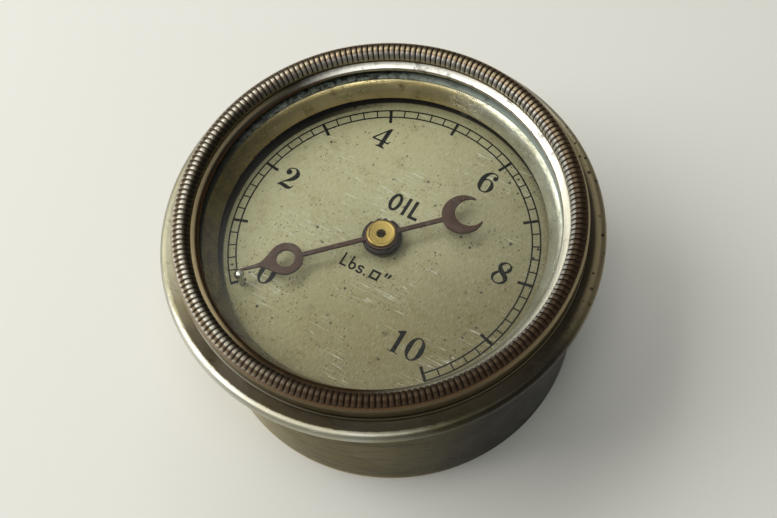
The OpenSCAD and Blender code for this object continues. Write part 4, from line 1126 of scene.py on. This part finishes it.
class GAUGE_OT_stage(bpy.types.Operator):
    """Pale floor, soft lamps and the camera"""

    bl_idname = "gauge.stage"
    bl_label = "Stage"
    bl_options = {"REGISTER", "UNDO"}

    def execute(self, context):
        scene = context.scene
        bm = bmesh.new()
        bmesh.ops.create_grid(bm, x_segments=8, y_segments=8, size=1.5)
        mesh = bpy.data.meshes.new("floor")
        bm.to_mesh(mesh)
        bm.free()
        mesh.materials.append(finishes(scene)["floor"])
        added(context, "floor", mesh)

        # The camera was fitted to the scale's marks in the photograph
        camera = bpy.data.cameras.new("camera")
        camera.lens, camera.sensor_width, camera.clip_start = 60.23, 36, 0.01
        right, up = Vector((0.8616, 0.5003, -0.0859)), Vector((-0.4106, 0.7864, 0.4616))
        back = right.cross(up).normalized()
        up = back.cross(right).normalized()
        right = up.cross(back).normalized()
        turn = Matrix((right, up, back)).transposed().to_4x4()
        scene.camera = added(context, "camera", camera)
        scene.camera.matrix_world = Matrix.Translation((0.0541, -0.0652, 0.1760)) @ turn

        # Direction of each lamp round the part and above the floor, in degrees, its sides in metres and its power
        for name, angle, rise, wide, high, power in (
            ("key", 200, 46, 0.44, 0.44, 2.5),
            ("sheen", 130, 54, 0.34, 0.16, 0.5),
            ("top", -50, 76, 0.22, 0.22, 0.6),
        ):
            lamp = bpy.data.lights.new(name, "AREA")
            lamp.shape, lamp.size, lamp.size_y, lamp.energy = "RECTANGLE", wide, high, power
            lamp.color = (1.0, 0.985, 0.96)
            way = Vector((*at(math.cos(math.radians(rise)), angle), math.sin(math.radians(rise))))
            held = added(context, name, lamp)
            held.location = way * scene.gauge_sizes.lamp_distance
            held.rotation_euler = way.to_track_quat("Z", "Y").to_euler()

        world = bpy.data.worlds.new("studio")
        world.use_nodes = True
        sky = world.node_tree.nodes["Background"]
        sky.inputs["Color"].default_value = (0.82, 0.84, 0.82, 1)
        sky.inputs["Strength"].default_value = 0.2
        scene.world = world
        scene.view_settings.view_transform = "Standard"
        return {"FINISHED"}


class GAUGE_PT_panel(bpy.types.Panel):
    """Builders of the gauge, in the sidebar"""

    bl_label = "Oil Pressure Gauge"
    bl_idname = "GAUGE_PT_panel"
    bl_space_type = "VIEW_3D"
    bl_region_type = "UI"
    bl_category = "Gauge"

    def draw(self, context):
        column = self.layout.column(align=True)
        for builder in BUILDERS:
            column.operator(builder.bl_idname)
        for group in (context.scene.gauge_sizes, context.scene.gauge_colours):
            box = self.layout.box()
            for name in group.__annotations__:
                box.prop(group, name)


BUILDERS = (
    GAUGE_OT_stage, GAUGE_OT_movement, GAUGE_OT_case, GAUGE_OT_bezel, GAUGE_OT_glazing,
    GAUGE_OT_dial, GAUGE_OT_printing, GAUGE_OT_pointer, GAUGE_OT_tube, GAUGE_OT_rear,
)
CLASSES = (GaugeSizes, GaugeColours) + BUILDERS + (GAUGE_PT_panel,)


def register():
    """Makes the settings, builders and panel known to Blender."""
    for known in CLASSES:
        bpy.utils.register_class(known)
    bpy.types.Scene.gauge_sizes = PointerProperty(type=GaugeSizes)
    bpy.types.Scene.gauge_colours = PointerProperty(type=GaugeColours)


def unregister():
    """Takes them away again."""
    del bpy.types.Scene.gauge_colours
    del bpy.types.Scene.gauge_sizes
    for known in reversed(CLASSES):
        bpy.utils.unregister_class(known)


def main():
    """Builds the whole gauge."""
    register()
    for builder in BUILDERS:
        group, name = builder.bl_idname.split(".")
        if getattr(getattr(bpy.ops, group), name)() != {"FINISHED"}:
            raise RuntimeError(f"{builder.bl_label} was not built")
    bpy.context.view_layer.update()


if __name__ == "__main__":
    main()
